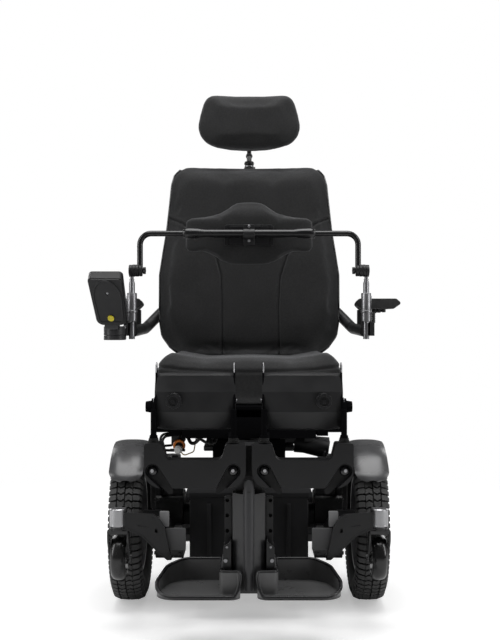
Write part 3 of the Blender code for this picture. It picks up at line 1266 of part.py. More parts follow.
def knee_support():
    """The left knee shell on its two uprights, the pad behind it and the clamp knob in front."""
    wall = 0.005
    x_mid, x_half = sum(SHELL_X) / 2, (SHELL_X[1] - SHELL_X[0]) / 2
    z_mid, z_half = sum(KNEE_Z) / 2, (KNEE_Z[1] - KNEE_Z[0]) / 2

    def shell_place(u, v, back_side):
        return Vector(
            (x_mid + x_half * u, knee_front(u, v) + (wall if back_side else 0), z_mid + z_half * v)
        )

    shell = padded_form(6, 5, shell_place)
    wing = rounded([(-0.402, 0.440, 0.006), (-0.402, 0.480, 0.010), (-0.372, 0.560, 0.014), (-0.350, 0.566, 0.008),
                    (-0.345, 0.530, 0.010), (-0.360, 0.430, 0.010)])
    sides = [
        flat([wing], (x - 0.0022, x + 0.0022), "X") for x in (SHELL_X[0] - 0.0010, SHELL_X[1] + 0.0010)
    ]
    rods = [rod((x, SOCKET_Y, 0.329), (x, SOCKET_Y, 0.475), UPRIGHT_R, ROUND) for x in SOCKET_X]
    frame = joined(shell, *sides, *rods)
    stud_z = z_mid + 0.003
    hole = rod((KNOB_X, -0.5, stud_z), (KNOB_X, -0.36, stud_z), 0.004 + FIT, ROUND)
    pair(cut(frame, hole), "knee_shell", "black_coat", "knee_left", "knee_right")
    pad_x, pad_z = x_half - 0.007, z_half - 0.007

    def pad_place(u, v, back_side):
        edge = max(abs(u) ** 6, abs(v) ** 6)
        front = knee_front(u * 0.95, v * 0.95) + wall + SOFT_GAP
        if back_side:
            cup = 0.016 * u * u
            return Vector((x_mid + pad_x * u, -0.322 + cup - 0.022 * edge, z_mid + pad_z * v))
        return Vector((x_mid + pad_x * u, front + 0.002 * edge, z_mid + pad_z * v))

    pad = padded_form(8, 6, pad_place)
    recess = rod((KNOB_X, -0.5, stud_z), (KNOB_X, -0.372, stud_z), 0.006, SLIM)
    pair(cut(pad, recess), "knee_pad", "black_fabric", "knee_left", "knee_right")
    front = KNEE_Y - 0.0005
    cap = rod((KNOB_X, front - 0.016, stud_z), (KNOB_X, front - 0.002, stud_z), 0.0145, 6, 0.0165)
    flange = rod((KNOB_X, front - 0.0035, stud_z), (KNOB_X, front, stud_z), 0.0160, BROAD)
    stud = rod((KNOB_X, front - 0.002, stud_z), (KNOB_X, -0.3755, stud_z), 0.004, ROUND)
    made = cut(
        joined(cap, flange, stud),
        rod((KNOB_X, -0.5, stud_z), (KNOB_X, front - 0.012, stud_z), 0.007, ROUND),
    )
    pair(made, "knee_knob", "black_plastic", "knee_knob_left", "knee_knob_right")


def build():
    make_materials()
    joint_tree()
    base_frame()
    base_shroud()
    batteries()
    power_module()
    gearmotor()
    fender()
    drive_wheel()
    rear_casters()
    support_arms()
    lift()
    tilt_frame()
    seat()
    back()
    headrest()
    armrests()
    chest_support()
    joystick()
    legrest()
    footplate()
    knee_carrier()
    knee_support()
    JOINTS["chassis"].location.y = AXLE_Y


build()
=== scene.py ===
# %% [markdown]
# # A standing wheelchair, dressed for its photograph
# The chair comes in as a fixed model: sixty plain solids that already have the right size, place and joints.
# This lesson gives them their looks. Hard pieces are rebuilt finer with rounded edges, because a real edge always
# catches a thin line of light. Soft pieces are blown up with a cloth simulation. Each new piece is hung on the part
# of the chair that carries it, so that every joint still moves.

# %% Bring in the chair's frame
import math

import bmesh
import bpy
from mathutils import Matrix, Vector
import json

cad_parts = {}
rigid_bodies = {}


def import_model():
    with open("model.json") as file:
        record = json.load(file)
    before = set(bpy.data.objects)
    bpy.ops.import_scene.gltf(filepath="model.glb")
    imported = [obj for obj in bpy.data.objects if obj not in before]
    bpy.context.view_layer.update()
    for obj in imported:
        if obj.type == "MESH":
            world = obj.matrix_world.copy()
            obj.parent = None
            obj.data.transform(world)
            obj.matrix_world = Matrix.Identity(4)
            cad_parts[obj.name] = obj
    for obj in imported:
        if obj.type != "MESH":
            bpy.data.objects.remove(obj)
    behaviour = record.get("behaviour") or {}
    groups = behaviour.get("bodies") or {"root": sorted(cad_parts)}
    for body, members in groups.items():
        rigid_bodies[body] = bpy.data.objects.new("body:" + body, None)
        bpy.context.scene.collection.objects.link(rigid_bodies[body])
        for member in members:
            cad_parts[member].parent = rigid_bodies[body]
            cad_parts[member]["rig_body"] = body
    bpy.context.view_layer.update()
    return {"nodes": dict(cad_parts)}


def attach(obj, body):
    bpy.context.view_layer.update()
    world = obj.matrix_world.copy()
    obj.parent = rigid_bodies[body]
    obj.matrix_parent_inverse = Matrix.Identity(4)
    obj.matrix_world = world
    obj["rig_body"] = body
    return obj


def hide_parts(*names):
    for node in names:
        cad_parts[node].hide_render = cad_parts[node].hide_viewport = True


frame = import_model()
print("solids in the frame:", len(frame["nodes"]))

# %% [markdown]
# ## Camera
# The photograph is taken from straight ahead, about two and a half metres from the drive axle and level with the
# seat. A long lens keeps the wheels from looking larger than the back. We look along +Y, so the chair faces us.


# %% Set up the camera
def add_object(name, data):
    """An object of the scene with this mesh, lamp or camera."""
    made = bpy.data.objects.new(name, data)
    bpy.context.scene.collection.objects.link(made)
    return made


AXLE_Y = -0.1025
camera_data = bpy.data.cameras.new("front_camera")
camera_data.lens = 60.3
camera_data.sensor_width = 36
camera = add_object("front_camera", camera_data)
camera.location = (0.0023, AXLE_Y - 2.5, 0.646)
camera.rotation_euler = (math.radians(90), 0, 0)
bpy.context.scene.camera = camera
print("camera stands at", tuple(round(value, 3) for value in camera.location))

# %% [markdown]
# ## Studio
# A black chair on white shows its form only by what it reflects, so the lamps are large and soft: one broad sheet
# overhead, a strip at each side and two behind. The paper is white for the camera, and keeps the shadows under the
# wheels. Its shader and the room's are small graphs, so one function adds a node, sets its values and wires it.


# %% Lay the white paper and hang the soft boxes
def add_node(tree, kind, *wires, **values):
    """A new node. A wire is (output, input); a value in small letters is a setting, the others are inputs."""
    node = tree.nodes.new("ShaderNode" + kind)
    for name, value in values.items():
        if name.islower():
            setattr(node, name, value)
        else:
            node.inputs[name.replace("_", " ")].default_value = value
    for output, entry in wires:
        tree.links.new(output, node.inputs[entry])
    return node


def new_finish(name, colour, roughness, metallic=0.0, **extra):
    """A material with these values in its main shader."""
    made = bpy.data.materials.new(name)
    made.use_nodes = True
    shader = made.node_tree.nodes["Principled BSDF"]
    values = {"Base_Color": (*colour, 1), "Roughness": roughness, "Metallic": metallic, **extra}
    for entry, value in values.items():
        shader.inputs[entry.replace("_", " ")].default_value = value
    return made


def choose_by(tree, choice, otherwise, chosen, last):
    """The last node of a tree shows one shader or the other, by a value of 0 or 1."""
    mix = add_node(tree, "MixShader", (choice, 0), (otherwise, 1), (chosen, 2))
    tree.links.new(mix.outputs[0], tree.nodes[last].inputs["Surface"])


def paper_finish():
    """White paper that glows a little for the camera, and turns plain white away from the chair."""
    paper = new_finish("white_paper", (0.86, 0.86, 0.86), 0.6, Specular_IOR_Level=0.2)
    tree = paper.node_tree
    lit = tree.nodes["Principled BSDF"].outputs[0]
    glow = add_node(tree, "Emission", Strength=0.39)
    near = add_node(tree, "AddShader", (lit, 0), (glow.outputs[0], 1))
    place = add_node(tree, "TexCoord")
    away = add_node(tree, "VectorMath", (place.outputs["Object"], 0), operation="LENGTH")
    reach = {"interpolation_type": "SMOOTHSTEP", "From_Min": 0.75, "From_Max": 1.9}
    fade = add_node(tree, "MapRange", (away.outputs["Value"], "Value"), **reach)
    far = add_node(tree, "Emission")
    seen = add_node(tree, "MixShader", (fade.outputs["Result"], 0), (near.outputs[0], 1), (far.outputs[0], 2))
    ray = add_node(tree, "LightPath")
    choose_by(tree, ray.outputs["Is Camera Ray"], lit, seen.outputs[0], "Material Output")
    return paper


def hang_softbox(name, place, aim, wide, tall, power):
    data = bpy.data.lights.new(name, "AREA")
    data.shape = "RECTANGLE"
    data.size, data.size_y = wide, tall
    data.energy = power
    lamp = add_object(name, data)
    lamp.location = place
    lamp.rotation_euler = (Vector(aim) - Vector(place)).to_track_quat("-Z", "Y").to_euler()


def as_mesh(shape, name):
    """The shape as a mesh; the shape itself is used up."""
    mesh = bpy.data.meshes.new(name)
    shape.to_mesh(mesh)
    shape.free()
    return mesh


floor_shape = bmesh.new()
bmesh.ops.create_grid(floor_shape, x_segments=4, y_segments=4, size=30)
paper_floor = add_object("paper_floor", as_mesh(floor_shape, "paper_floor"))
paper_floor.data.materials.append(paper_finish())
hang_softbox("overhead", (0, -0.2, 3.0), (0, -0.1, 0.4), 2.2, 2.2, 70)
for side, x in (("left", -1), ("right", 1)):
    hang_softbox(f"{side}_strip", (2.4 * x, -1.0, 1.6), (0, 0, 0.6), 0.7, 2.4, 30)
for side, x in (("left", -1), ("right", 1)):
    hang_softbox(f"rear_{side}", (1.7 * x, 1.9, 1.6), (0, 0.1, 0.7), 0.8, 2.0, 18)
world = bpy.data.worlds.new("white_room")
bpy.context.scene.world = world
world.use_nodes = True
room = world.node_tree
room_light = room.nodes["Background"]
room_light.inputs["Color"].default_value = (1, 1, 1, 1)
room_light.inputs["Strength"].default_value = 0.11
white_room = add_node(room, "Background", Color=(1, 1, 1, 1), Strength=1.0)
ray = add_node(room, "LightPath")
rays = [(ray.outputs["Is Camera Ray"], 0), (ray.outputs["Is Transmission Ray"], 1)]
either = add_node(room, "Math", *rays, operation="MAXIMUM")
choose_by(room, either.outputs[0], room_light.outputs[0], white_room.outputs[0], "World Output")
bpy.context.scene.view_settings.view_transform = "Standard"

# %% [markdown]
# ## Finishes
# Almost everything here is black, so colour hardly tells the pieces apart. What does is roughness and the size of
# the grain: powder coat has a fine orange peel, moulded covers a leather grain, tyres a dry bloom, and the stretch
# cover a knit. Each finish reads Object coordinates, so its grain has a real size in metres.


# %% Start a finish with a grain in its gloss and relief
def object_place(made):
    return add_node(made.node_tree, "TexCoord").outputs["Object"]


def mottle(made, scale, detail=3.0, stretch=(1, 1, 1)):
    """A noise over the piece, as a value from 0 to 1."""
    tree = made.node_tree
    turn = add_node(tree, "Mapping", (object_place(made), "Vector"), Scale=stretch)
    return add_node(tree, "TexNoise", (turn.outputs[0], "Vector"), Scale=scale, Detail=detail).outputs["Fac"]


def spread(made, value, low, high, start=0.3, end=0.7):
    """The value stretched from start and end to low and high."""
    limits = {"From_Min": start, "From_Max": end, "To_Min": low, "To_Max": high}
    return add_node(made.node_tree, "MapRange", (value, "Value"), **limits).outputs["Result"]


def enter(made, output, entry):
    made.node_tree.links.new(output, made.node_tree.nodes["Principled BSDF"].inputs[entry])


def gloss(made, value):
    enter(made, value, "Roughness")


def tint(made, value, dark, light):
    """The base colour moves between two colours with a value; 6, 7 and 2 are the mix's colour sockets."""
    mix = add_node(made.node_tree, "Mix", (value, 0), data_type="RGBA")
    mix.inputs[6].default_value = (*dark, 1)
    mix.inputs[7].default_value = (*light, 1)
    enter(made, mix.outputs[2], "Base Color")


def times(colour, factor, more=0):
    return tuple(c * factor + more for c in colour)


def relief(made, value, height, strength=1.0):
    """A bump whose height is in metres."""
    bump = add_node(made.node_tree, "Bump", (value, "Height"), Distance=height, Strength=strength)
    enter(made, bump.outputs["Normal"], "Normal")


def plain_plastic(name, colour, rough, scale, low, high):
    """A smooth skin whose gloss alone is uneven."""
    made = new_finish(name, colour, rough)
    gloss(made, spread(made, mottle(made, scale), low, high))
    return made


# %% [markdown]
# ### Coats on metal
# Powder coat is sprayed as dust and melted, which leaves shallow waves about a millimetre apart. The frame is satin
# black, and the fenders, the rims and the leg column are a lighter grey.


# %% Mix the coats and the bare metals
def powder_coat(name, colour, rough, shine=0.38):
    made = new_finish(name, colour, rough, Specular_IOR_Level=shine)
    peel = mottle(made, 900, 2.0)
    worn = mottle(made, 14, 5.0)
    gloss(made, spread(made, worn, rough - 0.05, rough + 0.08))
    tint(made, spread(made, worn, 0.0, 1.0), colour, times(colour, 1.18))
    relief(made, peel, 0.00006, 0.8)
    return made


def drawn_metal(name, colour, rough, stretch):
    made = new_finish(name, colour, rough, 1.0)
    lines = mottle(made, 700, 2.0, stretch)
    gloss(made, spread(made, lines, rough - 0.06, rough + 0.1))
    tint(made, spread(made, mottle(made, 40), 0.0, 1.0), times(colour, 0.86), colour)
    relief(made, lines, 0.00002, 0.2)
    return made


black_coat = powder_coat("satin_black_coat", (0.0085, 0.0085, 0.0092), 0.36, 0.42)
grey_coat = powder_coat("dark_grey_coat", (0.034, 0.034, 0.036), 0.38)
# Two copies of the support bracket's grey paint: the lighter one on the strip stands for the face of the step that
# catches the light, the darker one on the plate below it: painted light and shade.
plate_coat = powder_coat("lit_face_grey_plate", (0.26, 0.26, 0.265), 0.42)
shaded_face_grey_plate = powder_coat("shaded_face_grey_plate", (0.115, 0.115, 0.118), 0.42)
# A darker, glossless copy of the satin black for frame parts that sit in shade under the seat and beside the knees:
# painted shade.
shadow_coat = powder_coat("painted_shade_frame_coat", (0.0045, 0.0045, 0.005), 0.8, 0.0)
fender_coat = powder_coat("fender_coat", (0.062, 0.062, 0.064), 0.24, 0.55)
column_coat = powder_coat("column_coat", (0.016, 0.016, 0.017), 0.36, 0.5)
bar_coat = powder_coat("bar_coat", (0.006, 0.006, 0.0065), 0.22, 0.5)
gloss_black = powder_coat("gloss_black_coat", (0.008, 0.008, 0.009), 0.16, 0.6)
satin_steel = drawn_metal("satin_steel", (0.3, 0.3, 0.31), 0.36, (1, 1, 0.05))
head_steel = drawn_metal("head_tube_steel", (0.44, 0.44, 0.45), 0.3, (1, 1, 14))
bright_steel = drawn_metal("post_steel", (0.27, 0.27, 0.28), 0.33, (1, 1, 0.05))
zinc = drawn_metal("zinc_screw", (0.62, 0.62, 0.64), 0.28, (1, 1, 1))
print("metal finishes:", black_coat.name, grey_coat.name, satin_steel.name)

# %% [markdown]
# ### Plastics, rubber and cloth
# Moulded covers carry a leather grain that hides scratches. A cell texture makes it better than plain noise, because
# its bumps have edges. The stretch cover is a fine knit: rows of loops about a millimetre apart, with a soft sheen
# where the fibres stand out at grazing angles.


# %% Mix the plastics, the rubbers and the cloth
def moulded_plastic(name, colour, rough, cell=1500, shine=0.38):
    made = new_finish(name, colour, rough, Specular_IOR_Level=shine)
    tree = made.node_tree
    cells = add_node(tree, "TexVoronoi", (object_place(made), "Vector"), feature="SMOOTH_F1", Scale=cell)
    relief(made, cells.outputs["Distance"], 0.00008, 0.7)
    scuff = mottle(made, 22, 6.0)
    gloss(made, spread(made, scuff, rough - 0.05, rough + 0.1))
    tint(made, spread(made, scuff, 0.0, 1.0), colour, times(colour, 1.22))
    return made


def dry_rubber(name, colour, rough):
    made = new_finish(name, colour, rough)
    bloom = mottle(made, 30, 7.0)
    gloss(made, spread(made, bloom, rough - 0.08, rough + 0.12))
    tint(made, spread(made, bloom, 0.0, 1.0, 0.42, 0.75), colour, times(colour, 1.9, 0.002))
    relief(made, mottle(made, 1100, 3.0), 0.0001, 0.5)
    return made


def stretch_knit(name, colour, pitch=0.0011):
    """Rows of loops across, columns of loops up, and a slow cloudiness of the dye."""
    sheen = {"Sheen_Weight": 0.28, "Sheen_Roughness": 0.45, "Sheen_Tint": (0.62, 0.63, 0.66, 1)}
    made = new_finish(name, colour, 0.82, Specular_IOR_Level=0.35, **sheen)
    tree = made.node_tree
    place = object_place(made)
    total = None
    for direction, share in (("X", 1.0), ("Z", 1.0), ("Y", 0.6)):
        wave = {"bands_direction": direction, "Scale": 0.314 / pitch, "Distortion": 0.6, "Detail": 1.0}
        rows = add_node(tree, "TexWave", (place, "Vector"), **wave)
        height = spread(made, rows.outputs["Fac"], 0.0, share, 0.0, 1.0)
        total = add_node(tree, "Math", (total, 0), (height, 1)).outputs[0] if total is not None else height
    relief(made, total, 0.00016, 0.55)
    cloud = mottle(made, 9, 5.0)
    tint(made, spread(made, cloud, 0.0, 1.0), times(colour, 0.8), times(colour, 1.25))
    gloss(made, spread(made, mottle(made, 260, 3.0), 0.74, 0.92))
    return made


black_plastic = moulded_plastic("moulded_black", (0.01, 0.01, 0.0108), 0.4)
smooth_plastic = moulded_plastic("smooth_black", (0.01, 0.01, 0.011), 0.26, 3000)
# This near-black is laid in gaps, in recesses and behind holes: painted shade.
painted_shade_black = moulded_plastic("painted_shade_black", (0.0022, 0.0022, 0.0024), 0.6)
cover_plastic = moulded_plastic("battery_cover", (0.0165, 0.0165, 0.0172), 0.62, 1500, 0.04)
tray_plastic = moulded_plastic("tray_black", (0.092, 0.092, 0.093), 0.3, 2600)
pad_rubber = dry_rubber("arm_pad_skin", (0.01, 0.01, 0.01), 0.6)
tyre_rubber = dry_rubber("tyre_rubber", (0.03, 0.03, 0.03), 0.62)
groove_rubber = dry_rubber("groove_rubber", (0.006, 0.006, 0.006), 0.75)
caster_rubber = dry_rubber("caster_tread", (0.007, 0.007, 0.007), 0.16)
knit = stretch_knit("stretch_knit", (0.0125, 0.0125, 0.0128))
side_knit = stretch_knit("gusset_knit", (0.02, 0.02, 0.0205), 0.0016)
yellow = plain_plastic("yellow_cap", (0.72, 0.6, 0.02), 0.38, 300, 0.32, 0.46)
orange = plain_plastic("orange_ring", (0.62, 0.17, 0.015), 0.35, 300, 0.28, 0.44)
wire_yellow = plain_plastic("yellow_wire", (0.62, 0.36, 0.02), 0.45, 400, 0.38, 0.54)
cable_black = plain_plastic("cable_jacket", (0.012, 0.012, 0.012), 0.5, 200, 0.42, 0.58)
pale_plastic = plain_plastic("pale_connector", (0.55, 0.55, 0.54), 0.4, 260, 0.34, 0.5)
print("soft and moulded finishes:", knit.name, tyre_rubber.name, black_plastic.name)

# %% [markdown]
# ## Tools for hard pieces
# A piece is one mesh made of closed shapes: round bars, blocks, slabs cut to an outline, turned profiles and bent
# tubes. Sizes are written about the drive axle, and place_piece moves them to the chair's own origin. A Bevel
# modifier then rounds every sharp edge, which costs nothing to model and does most for realism.


# %% Round bars and blocks
def bar(shape, start, end, radius, sides=32, end_radius=None):
    """A round bar, or a cone, between two points."""
    start, end = Vector(start), Vector(end)
    turn = (end - start).to_track_quat("Z", "Y").to_matrix().to_4x4()
    bmesh.ops.create_cone(
        shape,
        cap_ends=True,
        segments=sides,
        radius1=radius,
        radius2=radius if end_radius is None else end_radius,
        depth=(end - start).length,
        matrix=Matrix.Translation((start + end) / 2) @ turn,
    )


def rod(shape, axis, span, across, radius, sides=32, end_radius=None):
    """A bar along an axis from one end of span to the other; across holds its two other values."""
    ends = [list(across), list(across)]
    for end, value in zip(ends, span):
        end.insert("XYZ".index(axis), value)
    bar(shape, *ends, radius, sides, end_radius)


def rods(shape, axis, *rows):
    """Several bars along an axis, each a row of what rod is told."""
    for row in rows:
        rod(shape, axis, *row)


def block(shape, x, y, z):
    """A block between two values on each axis."""
    size = Matrix.Diagonal((x[1] - x[0], y[1] - y[0], z[1] - z[0], 1))
    middle = Matrix.Translation((sum(x) / 2, sum(y) / 2, sum(z) / 2))
    return bmesh.ops.create_cube(shape, size=1, matrix=middle @ size)["verts"]


def knob_ball(shape, centre, radius):
    bmesh.ops.create_uvsphere(
        shape, u_segments=28, v_segments=18, radius=radius, matrix=Matrix.Translation(centre)
    )


def each_side(half):
    return (-half, half)


def around(middle, half):
    return (middle - half, middle + half)


def beside(sign, near, far):
    """The span from near to far on the left, or on the right where sign is -1."""
    return sorted((sign * near, sign * far))


# %% Outlines with rounded corners, and slabs cut to them
ALONG = {
    "X": Matrix(((0, 0, 1), (1, 0, 0), (0, 1, 0))).to_4x4(),
    "Y": Matrix(((1, 0, 0), (0, 0, -1), (0, 1, 0))).to_4x4(),
    "Z": Matrix.Identity(4),
}


def turn_corner(before, here, after, radius):
    """The centre of the arc that turns a corner, and the ways from it to the arc's two ends."""
    back, ahead = (before - here).normalized(), (after - here).normalized()
    half = back.angle(ahead) / 2
    centre = here + (back + ahead).normalized() * radius / math.sin(half)
    return centre, *(here + way * radius / math.tan(half) - centre for way in (back, ahead))


def rounded(corners, steps=6):
    """A flat outline through corners (a, b, radius), each turned by an arc."""
    points = []
    for number, (a, b, radius) in enumerate(corners):
        here = Vector((a, b))
        if not radius:
            points.append(here)
            continue
        beside_it = [Vector(corners[other % len(corners)][:2]) for other in (number - 1, number + 1)]
        centre, first, last = turn_corner(beside_it[0], here, beside_it[1], radius)
        start = math.atan2(first.y, first.x)
        sweep = math.remainder(math.atan2(last.y, last.x) - start, math.tau)
        for step in range(steps + 1):
            angle = start + sweep * step / steps
            points.append(centre + Vector((math.cos(angle), math.sin(angle))) * radius)
    return points


def rect(a, b, radius):
    """The corners of a rectangle, from a pair of values each way."""
    return [(a[0], b[0], radius), (a[1], b[0], radius), (a[1], b[1], radius), (a[0], b[1], radius)]


def arc(centre, radius, start, end, steps=24):
    """A round of points from one angle to another, in degrees."""
    turns = [math.radians(start + (end - start) * step / steps) for step in range(steps + 1)]
    return [Vector((centre[0] + radius * math.cos(t), centre[1] + radius * math.sin(t))) for t in turns]


def only(made, kind):
    """The points, edges or faces among what a mesh operation made."""
    return [part for part in made["geom"] if isinstance(part, kind)]


def closed_ring(shape, points):
    """The points and edges of a loop through the places."""
    ring = [shape.verts.new(point) for point in points]
    return ring, [shape.edges.new((ring[i - 1], ring[i])) for i in range(len(ring))]


def slab(shape, outlines, span, axis):
    """Outlines, the first with the others as holes, as thick as span along an axis."""
    low, high = sorted(-value for value in span) if axis == "Y" else sorted(span)
    edges = []
    for outline in outlines:
        edges += closed_ring(shape, [ALONG[axis] @ Vector((point[0], point[1], low)) for point in outline])[1]
    made = bmesh.ops.triangle_fill(shape, use_beauty=True, use_dissolve=True, edges=edges)
    raised = bmesh.ops.extrude_face_region(shape, geom=only(made, bmesh.types.BMFace), use_keep_orig=True)
    lift = ALONG[axis].to_3x3() @ Vector((0, 0, high - low))
    bmesh.ops.translate(shape, verts=only(raised, bmesh.types.BMVert), vec=lift)


def plank(shape, corners, span, axis, steps=6):
    """A slab cut to one outline with rounded corners."""
    slab(shape, [rounded(corners, steps)], span, axis)


# %% Turned and bent pieces
def turned(shape, profile, axis, centre, steps=72):
    """A closed profile of (radius, along) spun about an axis through centre."""
    place = Matrix.Translation(centre) @ ALONG[axis]
    ring, edges = closed_ring(shape, [place @ Vector((radius, 0, along)) for radius, along in profile])
    bmesh.ops.spin(
        shape,
        geom=ring + edges,
        cent=centre,
        axis=ALONG[axis].to_3x3() @ Vector((0, 0, 1)),
        angle=math.tau,
        steps=steps,
        use_merge=True,
    )


def mirrored(profile):
    """A half profile of (radius, along) with its mirror image, as one closed profile."""
    return profile + [(radius, -along) for radius, along in reversed(profile)]


def smooth_path(points, bends, steps=10):
    """Points with corner i turned by an arc of radius bends[i]."""
    path = []
    for number, point in enumerate(points):
        here = Vector(point)
        bend = bends[number] if number < len(bends) else 0
        if not bend:
            path.append(here)
            continue
        centre, first, last = turn_corner(Vector(points[number - 1]), here, Vector(points[number + 1]), bend)
        first, last = first.normalized(), last.normalized()
        path += [centre + first.slerp(last, step / steps) * bend for step in range(steps + 1)]
    return path


def merge(shape, mesh):
    """Put a mesh into the shape; the mesh itself is used up."""
    shape.from_mesh(mesh)
    bpy.data.meshes.remove(mesh)


def pipe(shape, path, radius, sides=24, closed=False):
    """A round tube along a path, made by a curve with a bevel and filled ends, or closed in a ring."""
    curve = bpy.data.curves.new("pipe", "CURVE")
    curve.dimensions = "3D"
    curve.bevel_depth = radius
    curve.bevel_resolution = (sides - 4) // 2
    curve.use_fill_caps = not closed
    spline = curve.splines.new("POLY")
    spline.points.add(len(path) - 1)
    for point, place in zip(spline.points, path):
        point.co = (*place, 1)
    spline.use_cyclic_u = closed
    guide = bpy.data.objects.new("pipe", curve)
    merge(shape, bpy.data.meshes.new_from_object(guide))
    bpy.data.objects.remove(guide)
    bpy.data.curves.remove(curve)


def evaluated(obj):
    """A new mesh of the object with its modifiers on."""
    graph = bpy.context.evaluated_depsgraph_get()
    return bpy.data.meshes.new_from_object(obj.evaluated_get(graph))


def drilled(shape, *tools):
    """The shape with the other shapes cut out of it."""
    made = []
    for each in (shape, *tools):
        bmesh.ops.remove_doubles(each, verts=each.verts, dist=1e-6)
        bmesh.ops.recalc_face_normals(each, faces=each.faces)
        made.append(add_object("drill", as_mesh(each, "drill")))
    for tool in made[1:]:
        cut = made[0].modifiers.new("cut", "BOOLEAN")
        cut.operation = "DIFFERENCE"
        cut.solver = "EXACT"
        cut.use_self = True
        cut.object = tool
    bpy.context.view_layer.update()
    drilled_shape = bmesh.new()
    merge(drilled_shape, evaluated(made[0]))
    for obj in made:
        bpy.data.objects.remove(obj, do_unlink=True)
    return drilled_shape


def teardrop(centre, radius, tip, tip_radius, steps=16):
    """The outline round two circles of unlike size."""
    way = Vector(tip) - Vector(centre)
    lean = math.degrees(math.atan2(way.y, way.x))
    half = math.degrees(math.acos((radius - tip_radius) / way.length))
    big = arc(centre, radius, lean + half, lean + 360 - half, steps)
    return big + arc(tip, tip_radius, lean - half, lean + half, steps // 2)


# %% Set a piece down, round its edges and hang it on its body
SLOTS = {
    "black_coat": (black_coat, gloss_black, shadow_coat, bar_coat),
    "grey_coat": (grey_coat, plate_coat, shaded_face_grey_plate, column_coat, fender_coat),
    "satin_steel": (head_steel, bright_steel, zinc),
    "tyre_rubber": (groove_rubber,),
    "black_rubber": (pad_rubber, caster_rubber),
}
SLOT_OF = {finish.name: slot for slot, finishes in SLOTS.items() for finish in finishes}


def place_piece(shape, name, finish, body, *nodes, edge=0.0008, rounds=2, sharp=35, moved=True):
    """The shape as an object of the chair; nodes are the CAD solids that it stands for."""
    if moved:
        bmesh.ops.translate(shape, verts=shape.verts, vec=(0, AXLE_Y, 0))
    bmesh.ops.remove_doubles(shape, verts=shape.verts, dist=1e-6)
    loose = [edge for edge in shape.edges if not edge.link_faces]
    bmesh.ops.delete(shape, geom=loose, context="EDGES")
    bmesh.ops.recalc_face_normals(shape, faces=shape.faces)
    mesh = as_mesh(shape, name)
    piece = add_object(name, mesh)
    mesh.materials.append(finish)
    mesh.shade_smooth()
    if edge:
        bevel = piece.modifiers.new("rounded_edges", "BEVEL")
        bevel.width = edge
        bevel.segments = rounds
        bevel.limit_method = "ANGLE"
        bevel.angle_limit = math.radians(sharp)
        bevel.harden_normals = True
        bevel.use_clamp_overlap = True
    else:
        mesh.set_sharp_from_angle(angle=math.radians(sharp))
    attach(piece, body)
    SLOT_OF.get(finish.name, "black_plastic")
    if nodes:
        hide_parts(*nodes)
    return piece


def place_pair(shape, name, finish, body, node="", **how):
    """A left piece and its mirror image. In body and node, SIDE stands for left or right."""
    bmesh.ops.recalc_face_normals(shape, faces=shape.faces)
    other = shape.copy()
    bmesh.ops.scale(other, verts=other.verts, vec=(-1, 1, 1))
    bmesh.ops.reverse_faces(other, faces=other.faces)
    for side, mesh_shape in (("left", shape), ("right", other)):
        nodes = [node.replace("SIDE", side)] if node else []
        place_piece(mesh_shape, f"{name}_{side}", finish, body.replace("SIDE", side), *nodes, **how)


def dressed(node, finish):
    """A copy of a CAD solid with its triangles merged and its edges rounded."""
    solid = frame["nodes"][node]
    shape = bmesh.new()
    shape.from_mesh(solid.data)
    bmesh.ops.remove_doubles(shape, verts=shape.verts, dist=1e-5)
    bmesh.ops.dissolve_limit(
        shape,
        angle_limit=math.radians(0.6),
        use_dissolve_boundaries=False,
        verts=shape.verts,
        edges=shape.edges,
    )
    place_piece(shape, f"{node}_dressed", finish, solid["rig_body"], node, sharp=32, moved=False)


# %% [markdown]
# ## Drive wheels
# The drive tyres are moulded with six rows of lugs: two rows of chevrons on the crown that point opposite ways,
# square lugs on the shoulders and small ones on the sidewalls. One lug of each row is drawn flat on top of the wheel,
# and spin sets seventy of them round the axle.

# %% Turn the tyre's carcass and spin its lugs round the axle
TYRE_X, TYRE_R, LUGS = 0.272, 0.175, 70
AXLE = (TYRE_X, 0, TYRE_R)


def lug(shape, outline, across, lean, top):
    """A tread lug on top of the wheel, tipped sideways by lean degrees, and its copies round the wheel."""
    piece = bmesh.new()
    slab(piece, [outline], (-0.0065, 0), "Z")
    turn = Matrix.Rotation(math.radians(lean), 4, "Y")
    piece.transform(Matrix.Translation((TYRE_X + across, 0, 2 * TYRE_R + top)) @ turn)
    parts = piece.verts[:] + piece.edges[:] + piece.faces[:]
    round_angle = math.tau * (LUGS - 1) / LUGS
    bmesh.ops.spin(
        piece, geom=parts, cent=AXLE, axis=(1, 0, 0), angle=round_angle, steps=LUGS - 1, use_duplicate=True
    )
    merge(shape, as_mesh(piece, "lugs"))


shape = bmesh.new()
carcass = [
    (0.113, 0.022), (0.116, 0.0262), (0.12, 0.029), (0.1255, 0.0322), (0.131, 0.0342), (0.1375, 0.0356),
    (0.145, 0.0358), (0.152, 0.0352), (0.158, 0.0336), (0.1635, 0.03), (0.1672, 0.0245), (0.169, 0.017),
    (0.1698, 0.008),
]
turned(shape, mirrored(carcass), "X", AXLE, 96)
place_pair(shape, "tyre_carcass", groove_rubber, "drive_SIDE", "drive_tyre_SIDE", edge=0)
shape = bmesh.new()
chevron = [(-0.0076, -0.003), (0, -0.0072), (0.0076, -0.003), (0.0076, 0.0088), (0, 0.0046), (-0.0076, 0.0088)]
upward = [(a, -b) for a, b in reversed(chevron)]
square = rounded(
    [(-0.0072, -0.0058, 0.0015), (0.0082, -0.0066, 0.0015), (0.0082, 0.0056, 0.0015), (-0.0072, 0.006, 0.0015)],
    2,
)
for sign, arrow in ((1, chevron), (-1, upward)):
    lug(shape, arrow, sign * 0.0089, sign * 4, -0.0002)
for sign in (1, -1):
    lug(shape, square, sign * 0.0258, sign * 22, -0.003)
side_lug = rounded(rect((-0.005, 0.005), (-0.0052, 0.0052), 0.001), 2)
